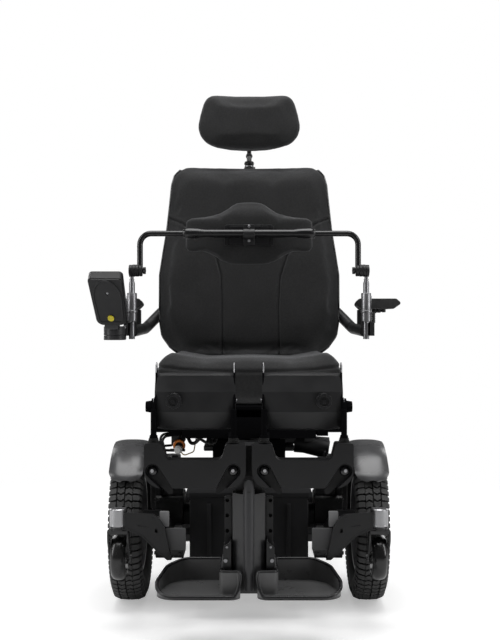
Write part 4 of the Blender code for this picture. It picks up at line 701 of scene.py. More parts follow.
for sign in (1, -1):
    lug(shape, side_lug, sign * 0.0352, sign * 64, -0.0135)
place_pair(shape, "tyre_lugs", tyre_rubber, "drive_SIDE", edge=0.0007, rounds=1, sharp=40)
print("lugs on each tyre:", LUGS * 6)

# %% [markdown]
# The rim is a cast ring with a hub, five flat spokes and five nuts. The ring and the hub are profiles turned about
# the axle, and each spoke is a slab whose outline widens towards the ring.

# %% Cast the rim: ring, hub, five spokes and five nuts
shape = bmesh.new()
ring = [
    (0.1126, 0.023), (0.1126, -0.025), (0.108, -0.026), (0.103, -0.025), (0.101, -0.008), (0.0985, 0.006),
    (0.099, 0.015), (0.103, 0.0235), (0.108, 0.025),
]
turned(shape, ring, "X", AXLE, 96)
hub = [
    (0.0132, 0.0002), (0.03, 0.0002), (0.032, 0.004), (0.031, 0.019), (0.029, 0.02), (0.015, 0.0215),
    (0, 0.0215), (0, 0.0186), (0.0132, 0.0186),
]
turned(shape, hub, "X", AXLE, 64)
spoke = [
    (0.024, -0.016, 0), (0.06, -0.014, 0.03), (0.102, -0.026, 0), (0.102, 0.026, 0), (0.06, 0.014, 0.03),
    (0.024, 0.016, 0),
]
for number in range(5):
    spin = math.tau * number / 5 + math.pi / 2
    across = Vector((math.cos(spin + math.pi / 2), math.sin(spin + math.pi / 2)))
    out = Vector((math.cos(spin), math.sin(spin)))
    outline = [out * a + across * b + Vector((0, TYRE_R)) for a, b in rounded(spoke)]
    slab(shape, [outline], (TYRE_X + 0.0085, TYRE_X + 0.0165), "X")
for number in range(5):
    spin = math.tau * (number + 0.5) / 5
    spot = (0.022 * math.cos(spin), TYRE_R + 0.022 * math.sin(spin))
    bar(shape, (TYRE_X + 0.018, *spot), (TYRE_X + 0.0245, *spot), 0.0042, 6)
place_pair(shape, "rim_casting", grey_coat, "drive_SIDE", "drive_rim_SIDE", edge=0.001)

# %% [markdown]
# ## Fenders and gearmotors
# A fender is a thin tongue over the tyre, pressed so that its middle stands a little higher than its edges. A grid is
# laid out flat, rolled round the axle and given its thickness with solidify.

# %% Roll the fender and set it on its bracket
FENDER_R, FENDER_HALF = 0.189, 0.0375
CROWN, END_DIP, BRACKET_R = 0.0045, 0.002, 0.1815


def rolled_tongue(shape, first, last, corner):
    """A grid rolled round the axle from one angle to the other, its far end rounded like a tongue."""
    made = bmesh.ops.create_grid(shape, x_segments=20, y_segments=56, size=1)["verts"]
    length = math.radians(last - first) * FENDER_R
    for vert in made:
        u, v = vert.co.x, (vert.co.y + 1) / 2
        left_over = min(1 - v, v * 3) * length
        half = FENDER_HALF
        if left_over < corner:
            half -= corner - math.sqrt(max(0, corner ** 2 - (corner - left_over) ** 2))
        angle = math.radians(first + (last - first) * v)
        radius = FENDER_R - CROWN * abs(u) ** 3.0 - END_DIP * (1 - min(1, left_over / 0.012)) ** 2
        vert.co = (TYRE_X + half * u, radius * math.cos(angle), TYRE_R + radius * math.sin(angle))
    bmesh.ops.recalc_face_normals(shape, faces=shape.faces)
    bmesh.ops.solidify(shape, geom=shape.faces[:], thickness=0.0026)


shape = bmesh.new()
rolled_tongue(shape, 62.5, 141, 0.026)
place_pair(shape, "fender_skin", fender_coat, "chassis", "fender_SIDE", edge=0.0005)
shape = bmesh.new()
spots = [
    (BRACKET_R * math.cos(math.radians(a)), TYRE_R + BRACKET_R * math.sin(math.radians(a))) for a in (112, 128)
]
for spot in spots:
    bar(shape, (0.197, *spot), (TYRE_X - 0.004, *spot), 0.004)
(high_y, high_z), (low_y, low_z) = spots
foot = [
    (-0.042, 0.2453, 0), (low_y - 0.009, low_z - 0.006, 0.006), (low_y - 0.004, low_z + 0.008, 0.006),
    (high_y + 0.006, high_z + 0.009, 0.006), (0.022, 0.2453, 0),
]
plank(shape, foot, (0.196, 0.202), "X")
place_pair(shape, "fender_bracket", black_coat, "chassis")

# %% [markdown]
# The gear housing is a cast box with a bolted flat face. Cooling fins run round the motor behind it.

# %% Cast the gear housing with its finned motor
shape = bmesh.new()
rod(shape, "X", (0.1283, 0.152), (0, TYRE_R), 0.0445, 48)
plank(shape, rect((-0.052, 0.052), (0.1, 0.245), 0.014), (0.15, 0.214), "X")
rod(shape, "Y", (0.04, 0.186), (0.17, TYRE_R), 0.0365, 56)
for number in range(11):
    y = 0.06 + 0.011 * number
    rod(shape, "Y", (y, y + 0.004), (0.17, TYRE_R), 0.0395, 56)
rod(shape, "Y", (0.184, 0.204), (0.17, TYRE_R), 0.037, 56, 0.027)
rod(shape, "X", (0.212, 0.2235), (0, TYRE_R), 0.035, 56)
rod(shape, "X", (0.222, TYRE_X + 0.0178), (0, TYRE_R), 0.0122, 40)
for y, z in ((-0.04, 0.112), (0.04, 0.112), (-0.04, 0.233), (0.04, 0.233)):
    rod(shape, "X", (0.2135, 0.2175), (y, z), 0.005, 6)
for x in (0.1585, 0.2055):
    for z in (0.112, 0.172, 0.233):
        rod(shape, "Y", (-0.0515, -0.0545), (x, z), 0.0042, 6)
block(shape, (0.2135, 0.226), (-0.034, 0.034), (0.212, 0.302))
block(shape, (0.152, 0.214), (-0.04, 0.03), (0.244, 0.268))
place_pair(shape, "gear_housing", black_coat, "chassis", "gearmotor_SIDE", edge=0.0012)
print("wheels, fenders and gearmotors are on")

# %% [markdown]
# ## Casters
# Rear casters and the two small casters on the support arms share one recipe: a turned wheel with a round tread, and
# a fork with two tapered legs, a crown and a stem. Only the sizes differ.

# %% Turn the caster wheels
def caster_wheel(shape, x, y, z, radius, width, bore):
    """A wheel with a round tread, a hollow web and a hub."""
    half = width / 2
    web = [(1, 1), (2.2, 1), (2.6, 0.92), (2.9, 0.48)]
    tread = [
        (0.6, 0.4), (0.655, 0.5), (0.675, 0.94), (0.74, 1), (0.86, 0.96), (0.945, 0.74), (0.985, 0.44),
        (1, 0.14),
    ]
    section = [(bore * out, half * along) for out, along in web]
    section += [(radius * out, half * along) for out, along in tread]
    turned(shape, mirrored(section), "X", (x, y, z), 72)


def caster_fork(shape, x, y, axle_z, trail, wheel_r, wheel_w, stem_r, stem_top):
    """Stem, crown and two tapered legs, with a bolt through the wheel."""
    low = axle_z + wheel_r + 0.004
    high = low + wheel_r * 0.16
    clear = wheel_w / 2 + 0.003
    leg = max(0.004, wheel_w * 0.11)
    width = clear + leg
    crown = clear + leg * 0.5
    length = max(stem_r * 2, leg * 3)
    foot = leg * 2.1
    rod(shape, "Z", (low + 0.001, stem_top), (x, y), stem_r)
    side = rounded([
        (y + trail + foot, axle_z, 0), (y + length * 0.6, high, 0.006), (y - length, high, 0.005),
        (y - length, low - wheel_r * 0.3, 0.02), (y + trail - foot, axle_z, 0),
    ])
    side += arc((y + trail, axle_z), foot, 180, 360, 14)[1:-1]
    for sign in (1, -1):
        slab(shape, [side], sorted((x + sign * clear, x + sign * width)), "X")
        end = x + sign * (width - 0.001)
        rod(shape, "X", (end, end + sign * 0.0035), (y + trail, axle_z), stem_r * 0.62, 6)
    block(shape, around(x, crown), (y - length, y + length * 0.6), (low, high))
    rod(shape, "X", (x - width, x + width), (y + trail, axle_z), stem_r * 0.5)


shape = bmesh.new()
caster_wheel(shape, 0.215, 0.55, 0.1, 0.1, 0.05, 0.0062)
place_pair(shape, "rear_caster_wheel", caster_rubber, "caster_wheel_SIDE", "rear_wheel_SIDE")
shape = bmesh.new()
caster_fork(shape, 0.215, 0.5, 0.1, 0.05, 0.1, 0.05, 0.01, 0.262)
place_pair(shape, "rear_caster_fork", black_coat, "caster_SIDE", "rear_fork_SIDE", edge=0.0012)
SUPPORT = (0.272, -0.265, 0.148)
shape = bmesh.new()
caster_wheel(shape, SUPPORT[0], SUPPORT[1] + 0.025, SUPPORT[2], 0.049, 0.031, 0.004)
place_pair(shape, "front_caster_wheel", caster_rubber, "support_wheel_SIDE", "support_wheel_SIDE", edge=0.0006)
shape = bmesh.new()
caster_fork(shape, *SUPPORT, 0.025, 0.049, 0.031, 0.006, 0.247)
rod(shape, "Z", (0.2085, 0.2116), SUPPORT[:2], 0.016, 48)
place_pair(
    shape, "front_caster_fork", gloss_black, "support_fork_SIDE", "support_fork_SIDE", edge=0.0009, rounds=3
)

# %% [markdown]
# ## Support arms
# Each arm is a pressed plate box that carries a steel head tube at its front. The head tube is its own piece, because
# it is bare steel: it has a chamfer on top, a black seal ring below it and two screws.

# %% Weld the support arm and press in its head tube
shape = bmesh.new()
pin_y, pin_z = -0.075, 0.165
rod(shape, "X", (0.1508, 0.199), (pin_y, pin_z), 0.0205, 48)
beam = [(pin_y, pin_z + 0.019, 0), (-0.255, 0.2355, 0.004), (-0.259, 0.1665, 0.004), (pin_y, pin_z - 0.019, 0)]
for span in ((0.168, 0.1735), (0.1885, 0.194)):
    plank(shape, beam, span, "X")
plank(shape, [(-0.25, 0.2345, 0), (-0.25, 0.229, 0), (pin_y, 0.179, 0), (pin_y, 0.184, 0)], (0.17, 0.192), "X")
face = [
    (SUPPORT[0], 0.248, 0), (0.2018, 0.2432, 0.008), (0.1851, 0.2325, 0.008), (0.1744, 0.2142, 0.006),
    (0.1661, 0.1706, 0.003),
    (0.1605, 0.148, 0.003), (0.17, 0.148, 0.003), (0.1889, 0.164, 0.012), (0.2221, 0.1965, 0.012),
    (0.245, 0.2075, 0.012),
    (SUPPORT[0], 0.2125, 0),
]
window = rounded(
    [(0.189, 0.2025, 0.002), (0.195, 0.2055, 0.002), (0.1945, 0.2145, 0.002), (0.1895, 0.2125, 0.002)], 3
)
slab(shape, [rounded(face), window], (-0.2768, -0.2725), "Y")
inner = [(a + 0.0012, b - 0.0015 if b > 0.2 else b + 0.0015, r) for a, b, r in face[1:-1]]
plank(shape, inner, (-0.265, -0.252), "Y")
lower_edge = face[5:]
rim_low = [*lower_edge, *((a, b + 0.0035, r) for a, b, r in reversed(lower_edge))]
plank(shape, rim_low, (-0.278, -0.253), "Y")
groove = [(0.21, 0.215, 0.001), (0.231, 0.219, 0.001), (0.231, 0.2205, 0.001), (0.21, 0.2175, 0.001)]
plank(shape, groove, (-0.2774, -0.276), "Y")
web = [
    (0.229, 0.235, 0.004), (0.19, 0.235, 0), (0.174, 0.145, 0.003), (0.182, 0.143, 0.003),
    (0.229, 0.185, 0.006),
]
plank(shape, web, (-0.1838, -0.1785), "Y")
for y, z in ((0.169, 0.161), (0.2, 0.233)):
    rod(shape, "Y", (-0.2765, -0.2782), (y, z), 0.0032, 6)
place_pair(shape, "arm_box", black_coat, "support_arm_SIDE", "support_arm_SIDE")
# The plate and the strip are faces of one grey stepped bracket; the strip is painted lighter for the light it
# catches.
shape = bmesh.new()
plate = [(0.1317, 0.1651, 0.003), (0.1672, 0.1655, 0.003), (0.1746, 0.2112, 0.002), (0.1317, 0.2112, 0.003)]
plank(shape, plate, (-0.2608, -0.2578), "Y")
place_pair(shape, "support_arm_plate", shaded_face_grey_plate, "support_arm_SIDE", edge=0.0006)
shape = bmesh.new()
strip = rect((0.1665, 0.1865), (0.214, 0.2465), 0.002)
plank(shape, strip, (-0.2604, -0.2572), "Y")
place_pair(shape, "support_arm_strip", plate_coat, "support_arm_SIDE", edge=0.0006)
shape = bmesh.new()
tube = [
    (0.0072, 0.2165), (0.0174, 0.2165), (0.0182, 0.2175), (0.0182, 0.2515), (0.016, 0.2538), (0, 0.2538),
    (0, 0.2475), (0.0072, 0.2475),
]
turned(shape, tube, "Z", (SUPPORT[0], SUPPORT[1], 0), 72)
place_pair(shape, "support_head_tube", head_steel, "support_arm_SIDE", edge=0.0006)
shape = bmesh.new()
seal = [
    (0.0072, 0.2124), (0.0176, 0.2124), (0.0182, 0.2135), (0.0182, 0.2152), (0.0174, 0.2163), (0.0072, 0.2163),
]
turned(shape, seal, "Z", (SUPPORT[0], SUPPORT[1], 0), 72)
place_pair(shape, "support_seal_ring", gloss_black, "support_arm_SIDE", edge=0)
shape = bmesh.new()
for angle in (-60, -120):
    turn = Vector((math.cos(math.radians(angle)), math.sin(math.radians(angle)), 0))
    middle = Vector((SUPPORT[0], SUPPORT[1], 0.22))
    bar(shape, middle + turn * 0.0175, middle + turn * 0.019, 0.0022, 24)
place_pair(shape, "support_head_screws", zinc, "support_arm_SIDE", edge=0.0004)
print("casters and support arms are on")

# %% [markdown]
# ## Leg column and footplates
# Below the knees a nosed column comes forward from the seat. It has a half-round bar down its front and a sliding
# plate with rows of holes behind it, and the plate has hinge brackets for the two footplates.

# %% Shape the column and the head that carries it
shape = bmesh.new()
LEG_Y, LEG_Z = -0.155, 0.362
rod(shape, "X", (-0.035, 0.035), (LEG_Y, LEG_Z), 0.0175, 48)
side = [
    (LEG_Y, LEG_Z + 0.0172, 0), (LEG_Y - 0.145, LEG_Z - 0.002, 0.05), (-0.3725, LEG_Z - 0.005, 0),
    (-0.3725, 0.103, 0),
    (-0.345, 0.103, 0), (-0.325, 0.127, 0.02), (LEG_Y - 0.01, LEG_Z - 0.0145, 0.04),
    (LEG_Y + 0.005, LEG_Z - 0.016, 0),
]
plank(shape, side, each_side(0.0268), "X")
block(shape, each_side(0.0435), (-0.372, -0.3505), (0.326, 0.397))
nose = [
    (0.0325, -0.354, 0), (0.0325, -0.386, 0.006), (0.0115, -0.4055, 0.003), (-0.0115, -0.4055, 0.003),
    (-0.0325, -0.386, 0.006),
    (-0.0325, -0.354, 0),
]
plank(shape, nose, (0.1155, 0.3055), "Z")
place_piece(shape, "leg_column", column_coat, "legrest", "legrest_frame", edge=0.0012)
shape = bmesh.new()
rod(shape, "Z", (0.1175, 0.3345), (0, -0.408), 0.0094, 48)
block(shape, each_side(0.0112), (-0.4078, -0.4), (0.1185, 0.315))
place_piece(shape, "column_front_bar", grey_coat, "legrest", edge=0.0016, rounds=3)
shape = bmesh.new()
plank(shape, rect((-0.004, 0.004), (0.31, 0.313), 0.0014), (-0.4178, -0.417), "Y")
place_piece(shape, "column_bar_slot", cable_black, "legrest", edge=0)

# A near-black sheet in the gap between the carriers: painted shade, not a part of the chair.
shape = bmesh.new()
block(shape, each_side(0.0115), (-0.375, -0.3722), (0.336, 0.397))
place_piece(shape, "column_gap_shade", painted_shade_black, "legrest", edge=0)

# %% Cut the sliding plate's strips and hang the hinge brackets on it
shape = bmesh.new()
STRIP = (0.0345, 0.0485)
for sign in (1, -1):
    near, far = beside(sign, *STRIP)
    outline = rounded(rect((near, far), (0.1285, 0.294), 0.003))
    holes = [arc((sign * 0.043, z), 0.0036, 0, 345, 23) for z in (0.224, 0.255, 0.285)]
    slab(shape, [outline, *holes], (-0.3531, -0.3455), "Y")
block(shape, each_side(0.0345), (-0.353, -0.3456), (0.1285, 0.292))
block(shape, each_side(0.0112), (-0.3724, -0.352), (0.15, 0.288))
for sign in (1, -1):
    block(shape, beside(sign, 0.0343, 0.0368), (-0.395, -0.3525), (0.152, 0.212))
    near, far = sign * 0.0345, sign * 0.0505
    lug_plate = rounded([(near, 0.15, 0), (near, 0.212, 0), (far, 0.2, 0.008), (far, 0.156, 0.01)])
    for span in ((-0.396, -0.3905), (-0.3524, -0.3457)):
        slab(shape, [lug_plate], span, "Y")
place_piece(shape, "slide_plate", black_coat, "leg_slide", "leg_slide", edge=0.0007)
# A near-black sheet just behind the strips, so that their holes show painted shade.
shape = bmesh.new()
for sign in (1, -1):
    block(shape, beside(sign, 0.036, 0.048), (-0.3454, -0.344), (0.215, 0.292))
place_piece(shape, "strip_hole_shade", painted_shade_black, "leg_slide", edge=0)
shape = bmesh.new()
for sign in (1, -1):
    rod(shape, "Y", (-0.4, -0.35), (sign * 0.0455, 0.174), 0.0038)
    rod(shape, "Y", (-0.3962, -0.3978), (sign * 0.043, 0.2), 0.0026, 6)
place_piece(shape, "footplate_pins", satin_steel, "leg_slide", edge=0.0004)

# %% [markdown]
# A footplate is a dished tray. Its sole is a slab with a corner left out for the leg column, and its wall follows the
# sole's outline and climbs towards the heel. A rolled lip runs round the wall's edge.

# %% Mould the footplates
SOLE = [
    (0.0165, -0.4415, 0.02), (0.1775, -0.4415, 0.038), (0.181, -0.39, 0.04), (0.164, -0.326, 0.04),
    (0.133, -0.2935, 0.03), (0.054, -0.2935, 0.006), (0.054, -0.4125, 0.007), (0.0165, -0.4125, 0.007),
]
TOE_Y, LOW_WALL, CLIMB = -0.44, 0.113, 0.042


def wall_height(x, y):
    """How high the tray's wall stands: low at the toes, high at the heel and round the column."""
    climb = (y - TOE_Y) / (0.028 if x < 0.06 else 0.11)
    outer = max(0, min(1, (x - 0.118) / 0.064))
    return LOW_WALL + CLIMB * math.sin(math.pi / 2 * max(0, min(1, climb))) * (1 - 0.35 * outer ** 2)


def raised_wall(shape, outline, thick):
    """A wall on the outline, extruded up to its own height at each point and given its thickness inwards."""
    made = bmesh.ops.extrude_edge_only(shape, edges=closed_ring(shape, [(a, b, 0.1075) for a, b in outline])[1])
    for vert in only(made, bmesh.types.BMVert):
        vert.co.z = wall_height(vert.co.x, vert.co.y)
    faces = only(made, bmesh.types.BMFace)
    bmesh.ops.recalc_face_normals(shape, faces=faces)
    bmesh.ops.solidify(shape, geom=faces, thickness=thick)


shape = bmesh.new()
outline = rounded(SOLE, 12)
slab(shape, [outline], (0.107, 0.1122), "Z")
tray = bmesh.new()
raised_wall(tray, outline, 0.0036)
merge(shape, as_mesh(tray, "tray"))
rod(shape, "Y", (-0.3893, -0.354), (0.0455, 0.174), 0.0074, 40)
plank(
    shape, [(0.0385, 0.128, 0), (0.056, 0.128, 0), (0.053, 0.174, 0), (0.0385, 0.174, 0)], (-0.389, -0.3545),
    "Y",
)
place_pair(shape, "tray_of_foot", tray_plastic, "footplate_SIDE", "footplate_SIDE", edge=0.0012, sharp=30)
shape = bmesh.new()
lip = [(a, b, wall_height(a, b)) for a, b in outline]
pipe(shape, lip, 0.0036, 20, closed=True)
place_pair(shape, "tray_lip", smooth_plastic, "footplate_SIDE", edge=0)
print("leg column and footplates are on")

# %% [markdown]
# ## Knee supports
# Two castings under the knees hold round uprights in sockets, each clamped by a domed bolt at the bottom of a
# teardrop recess. On the uprights stand the knee shells, with three flat bands across the front, a six-sided knob and
# thin side plates whose bright edges hook over the top.

# %% Cast the two carriers
SOCKETS, SOCKET_Y, BOLT_Z = (0.03, 0.187), -0.395, 0.352
WELL_TIPS = ((0.059, 0.312), (0.153, 0.312))
WELL_Y, FLARE = -0.42, 1.3
shape = bmesh.new()
carrier = [
    (0.0058, 0.404, 0.005), (0.045, 0.404, 0.005), (0.054, 0.3735, 0.012), (0.161, 0.3735, 0.012),
    (0.169, 0.406, 0.005), (0.2035, 0.406, 0.005), (0.2035, 0.319, 0.034), (0.0058, 0.319, 0.034),
]
slab(shape, [rounded(carrier, 8)], (-0.42, -0.3725), "Y")
tools = []
for x, tip in zip(SOCKETS, WELL_TIPS):
    socket, well = bmesh.new(), bmesh.new()
    rod(socket, "Z", (0.325, 0.42), (x, SOCKET_Y), 0.0066, 24)
    slab(well, [teardrop((x, BOLT_Z), 0.0125, tip, 0.006)], (-0.43, -0.41), "Y")
    for vert in well.verts:
        if vert.co.y < WELL_Y:
            middle = Vector((x, vert.co.y, BOLT_Z))
            vert.co = middle + (vert.co - middle) * FLARE
    tools += [socket, well]
shape = drilled(shape, *tools)
place_pair(shape, "carrier_casting", black_coat, "legrest", "knee_carrier_SIDE", edge=0.0014, rounds=3)
# A near-black sheet on the floor of each teardrop recess: painted shade inside the recess.
shape = bmesh.new()
for x, tip in zip(SOCKETS, WELL_TIPS):
    slab(shape, [teardrop((x, BOLT_Z), 0.0122, tip, 0.0057)], (-0.4106, -0.409), "Y")
place_pair(shape, "carrier_well_shade", painted_shade_black, "legrest", edge=0)
shape = bmesh.new()
dome = [
    (0, 0.408), (0.01, 0.408), (0.0102, 0.411), (0.0092, 0.414), (0.007, 0.4165), (0.004, 0.4178), (0, 0.418),
]
for x in SOCKETS:
    turned(shape, dome, "Y", (x, 0, BOLT_Z), 40)
place_pair(shape, "carrier_domes", gloss_black, "legrest", edge=0)
shape = bmesh.new()
for x in SOCKETS:
    rod(shape, "Y", (-0.417, -0.4192), (x + 0.001, 0.353), 0.0036, 6)
place_pair(shape, "carrier_bolts", zinc, "legrest", edge=0.0004)
shape = bmesh.new()
for x in SOCKETS:
    for number in range(3):
        span = (0.4058 + 0.003 * number, 0.408 + 0.003 * number)
        rod(shape, "Z", span, (x, SOCKET_Y), 0.0112 - 0.0008 * number, 40)
place_pair(shape, "socket_boots", groove_rubber, "legrest", edge=0.0004)

# %% Bow the knee shells and bend their side plates
KNEE_X, KNEE_HALF_X, KNEE_MID_Z, KNEE_HALF_Z = 0.106, 0.08, 0.484, 0.057
KNOB_X, KNOB_Y, KNOB_Z = 0.1476, -0.3925, 0.487


def knee_front(u, v):
    """How far forward the shell stands: three flat bands, bowed back at the sides."""
    band = 0.0
    if v > 0.36:
        band = 0.016 * (v - 0.36) / 0.64
    if v < -0.34:
        band = 0.016 * (-v - 0.34) / 0.66
    roll = 0.012 * max(0, abs(v) - 0.93) / 0.07
    return -0.3925 + band + 0.01 * u * u + roll


def thicken(shape, thickness):
    """Give a sheet that faces the camera its thickness, inwards."""
    bmesh.ops.recalc_face_normals(shape, faces=shape.faces)
    if sum(face.normal.y for face in shape.faces) > 0:
        bmesh.ops.reverse_faces(shape, faces=shape.faces)
    bmesh.ops.solidify(shape, geom=shape.faces[:], thickness=thickness)


shape = bmesh.new()
made = bmesh.ops.create_grid(shape, x_segments=40, y_segments=100, size=1)["verts"]
for vert in made:
    u, v = vert.co.x, vert.co.y
    shrink = 1 - 0.035 * abs(v) ** 8
    tuck = 1 - 0.05 * abs(u) ** 8
    y = knee_front(u, v)
    vert.co = (KNEE_X + KNEE_HALF_X * u * shrink, y, KNEE_MID_Z + KNEE_HALF_Z * v * tuck)
thicken(shape, 0.0048)
hole = bmesh.new()
rod(hole, "Y", (-0.42, -0.37), (KNOB_X, KNOB_Z), 0.0047, 24)
shape = drilled(shape, hole)
place_pair(
    shape, "shell_of_knee", black_plastic, "knee_SIDE", "knee_shell_SIDE", edge=0.0014, rounds=3, sharp=12
)
shape = bmesh.new()
for x in SOCKETS:
    rod(shape, "Z", (0.3292, 0.47), (x, SOCKET_Y), 0.0059)
    rod(shape, "Z", (0.4105, 0.42), (x, SOCKET_Y), 0.0092, 32, 0.0075)
plate = [
    (-0.39, 0.442, 0.006), (-0.388, 0.486, 0.014), (-0.372, 0.53, 0.02), (-0.369, 0.558, 0.006),
    (-0.358, 0.558, 0.006),
    (-0.352, 0.53, 0.02), (-0.356, 0.43, 0.01), (-0.38, 0.43, 0.01),
]
for x in (0.0285, 0.184):
    plank(shape, plate, around(x, 0.0017), "X")
for x, sign in ((0.027, -1), (0.1855, 1)):
    rod(shape, "X", (x, x + sign * 0.0018), (-0.38, 0.487), 0.0062)
    rod(shape, "X", (x, x + sign * 0.0016), (-0.378, 0.452), 0.007)
place_pair(shape, "knee_side_plates", shadow_coat, "knee_SIDE", edge=0.0006)
shape = bmesh.new()
for x in (0.029, 0.1835):
    path = smooth_path(
        [(x, -0.38, 0.542), (x, -0.3745, 0.56), (x, -0.36, 0.561), (x, -0.356, 0.545)], (0, 0.007, 0.007, 0)
    )
    pipe(shape, path, 0.0013, 10)
for x, sign in ((0.027, -1), (0.1855, 1)):
    rod(shape, "X", (x, x + sign * 0.0034), (-0.38, 0.487), 0.003, 24)
place_pair(shape, "knee_bright_hooks", satin_steel, "knee_SIDE", edge=0.0004)
shape = bmesh.new()
rod(shape, "X", (0.1866, 0.1915), (-0.378, 0.452), 0.0052, 12)
place_pair(shape, "knee_side_knob", gloss_black, "knee_SIDE", edge=0.001)

# %% Turn the clamp knobs
shape = bmesh.new()
middle = (KNOB_X, KNOB_Z)
six = rounded([(*corner, 0.0022) for corner in arc(middle, 0.0163, 30, 330, 5)], 4)
slab(shape, [six, arc(middle, 0.0098, 0, 350, 35)], (KNOB_Y - 0.015, KNOB_Y - 0.0022), "Y")
rods(
    shape, "Y",
    ((KNOB_Y - 0.011, KNOB_Y - 0.0022), middle, 0.0104, 40),
    ((KNOB_Y - 0.0034, KNOB_Y), middle, 0.016, 56),
    ((KNOB_Y - 0.0125, KNOB_Y - 0.0108), middle, 0.0052, 6),
    ((KNOB_Y - 0.002, -0.3757), middle, 0.0039, 24),
)
place_pair(shape, "clamp_knob", smooth_plastic, "knee_knob_SIDE", "knee_knob_SIDE", edge=0.0014, rounds=3)
print("knee supports are on")

# %% [markdown]
# ## Chest support
# Two steel posts slide in receivers on the armrests. A clamp on each holds the end of a bent bar, and a sleeve with
# swollen ends turns on the bar. A saddle with two screws clamps the plate that carries the chest pad.

# %% Bend the bar and turn its clamps
ARM_X, REACH_Y, BAR_X, BAR_Z, CLAMP_Z = 0.282, 0.08, 0.2625, 0.854, 0.765
SIDES = ((1, "left"), (-1, "right"))
shape = bmesh.new()
low, high = CLAMP_Z + 0.003, BAR_Z
corners = [(BAR_X, REACH_Y, low), (BAR_X, REACH_Y, high), (-BAR_X, REACH_Y, high), (-BAR_X, REACH_Y, low)]
pipe(shape, smooth_path(corners, (0, 0.027, 0.027, 0), 16), 0.007, 32)
place_piece(shape, "chest_bar_tube", bar_coat, "chest_bar", "chest_bar", edge=0.0005)
star = []
for step in range(72):
    angle = math.tau * step / 72
    reach = 0.0074 + 0.0014 * math.cos(5 * angle)
    star.append(Vector((REACH_Y + reach * math.cos(angle), CLAMP_Z + reach * math.sin(angle))))
drums = ((0.2568, 0.2645, 0.014, 56), (0.2653, 0.2728, 0.0145, 56), (0.254, 0.27, 0.006, 24))
for side, word in SIDES:
    shape = bmesh.new()
    for near, far, radius, sides in drums:
        rod(shape, "X", (side * near, side * far), (REACH_Y, CLAMP_Z), radius, sides)
    slab(shape, [star], beside(side, 0.2485, 0.2552), "X")
    place_piece(shape, f"bar_clamp_{word}", black_plastic, "chest_bar", edge=0.0009, rounds=3, sharp=40)
sleeve = [
    (0.0072, -0.1588), (0.0098, -0.1588), (0.0112, -0.157), (0.0134, -0.149), (0.0136, -0.142),
    (0.0128, -0.124),
    (0.0112, -0.114), (0.0101, -0.108), (0.01, -0.104),
]
shape = bmesh.new()
turned(shape, mirrored(sleeve), "X", (0, REACH_Y, BAR_Z), 56)
place_piece(shape, "bar_sleeve", bar_coat, "chest_bar", "chest_bar_sleeve", edge=0.0006, sharp=50)

# %% Clamp the plate under its saddle
shape = bmesh.new()
plate = [(0.06, 0.827, 0.01), (0.06, 0.877, 0.01), (-0.06, 0.877, 0.01), (-0.06, 0.827, 0.01)]
plank(shape, plate, (0.0945, 0.0982), "Y")
for x in each_side(0.0565):
    plank(shape, rect((x - 0.0032, x + 0.0032), (0.826, 0.874), 0.003), (0.0905, 0.095), "Y")
block(shape, each_side(0.046), (0.0925, 0.095), (0.83, 0.8735))
place_piece(shape, "pad_plate", smooth_plastic, "chest_bar", edge=0.0007)
shape = bmesh.new()
plank(
    shape,
    [(0.0132, 0.8262, 0.003), (0.0132, 0.8756, 0.003), (-0.0132, 0.8756, 0.003), (-0.0132, 0.8262, 0.003)],
    (0.074, 0.0928), "Y",
)
rod(shape, "X", (-0.0132, 0.0132), (0.079, BAR_Z - 0.002), 0.0142, 48)
place_piece(shape, "bar_saddle", black_coat, "chest_bar", edge=0.001, rounds=3)
shape = bmesh.new()
cup = [
    (0, -0.0755), (0.0034, -0.0755), (0.0034, -0.0722), (0.0028, -0.0714), (0.0018, -0.0714), (0.0016, -0.0735),
    (0, -0.0735),
]
for z in (0.8706, 0.8362):
    turned(shape, [(radius, along + 0.0723) for radius, along in cup], "Y", (0, 0.0723, z), 32)
place_piece(shape, "saddle_screws", zinc, "chest_bar", edge=0)

# %% Turn the posts
POST, CLAMP = (ARM_X, REACH_Y), (REACH_Y, CLAMP_Z)
shape = bmesh.new()
rods(
    shape, "Z",
    ((0.6, 0.7345), POST, 0.0072, 48),
    ((0.7345, 0.743), POST, 0.0072, 48, 0.0046),
    ((0.742, 0.756), POST, 0.0045, 40),
    ((0.742, 0.7442), POST, 0.006, 40),
)
place_pair(shape, "chest_post_tube", bright_steel, "chest_post_SIDE", "chest_post_SIDE", edge=0.0005)
shape = bmesh.new()
rods(
    shape, "X",
    ((0.2733, 0.2805), CLAMP, 0.0145, 56),
    ((0.281, 0.2886), CLAMP, 0.0138, 56),
    ((0.288, 0.2896), CLAMP, 0.0085, 40),
)
rod(shape, "Z", (0.75, 0.756), POST, 0.0068, 40)
place_pair(shape, "post_clamp", black_plastic, "chest_post_SIDE", edge=0.001, rounds=3)

# %% [markdown]
# ## Armrests and joystick
# A thick black tube comes forward from behind the back on each side. It ends at the receiver of the chest post, and
# two stems carry a bevelled pad. The joystick hangs steeply on a swing drum beside the right receiver, so from the
# front its underside shows: a raised oval, a screw and a plain yellow cap.

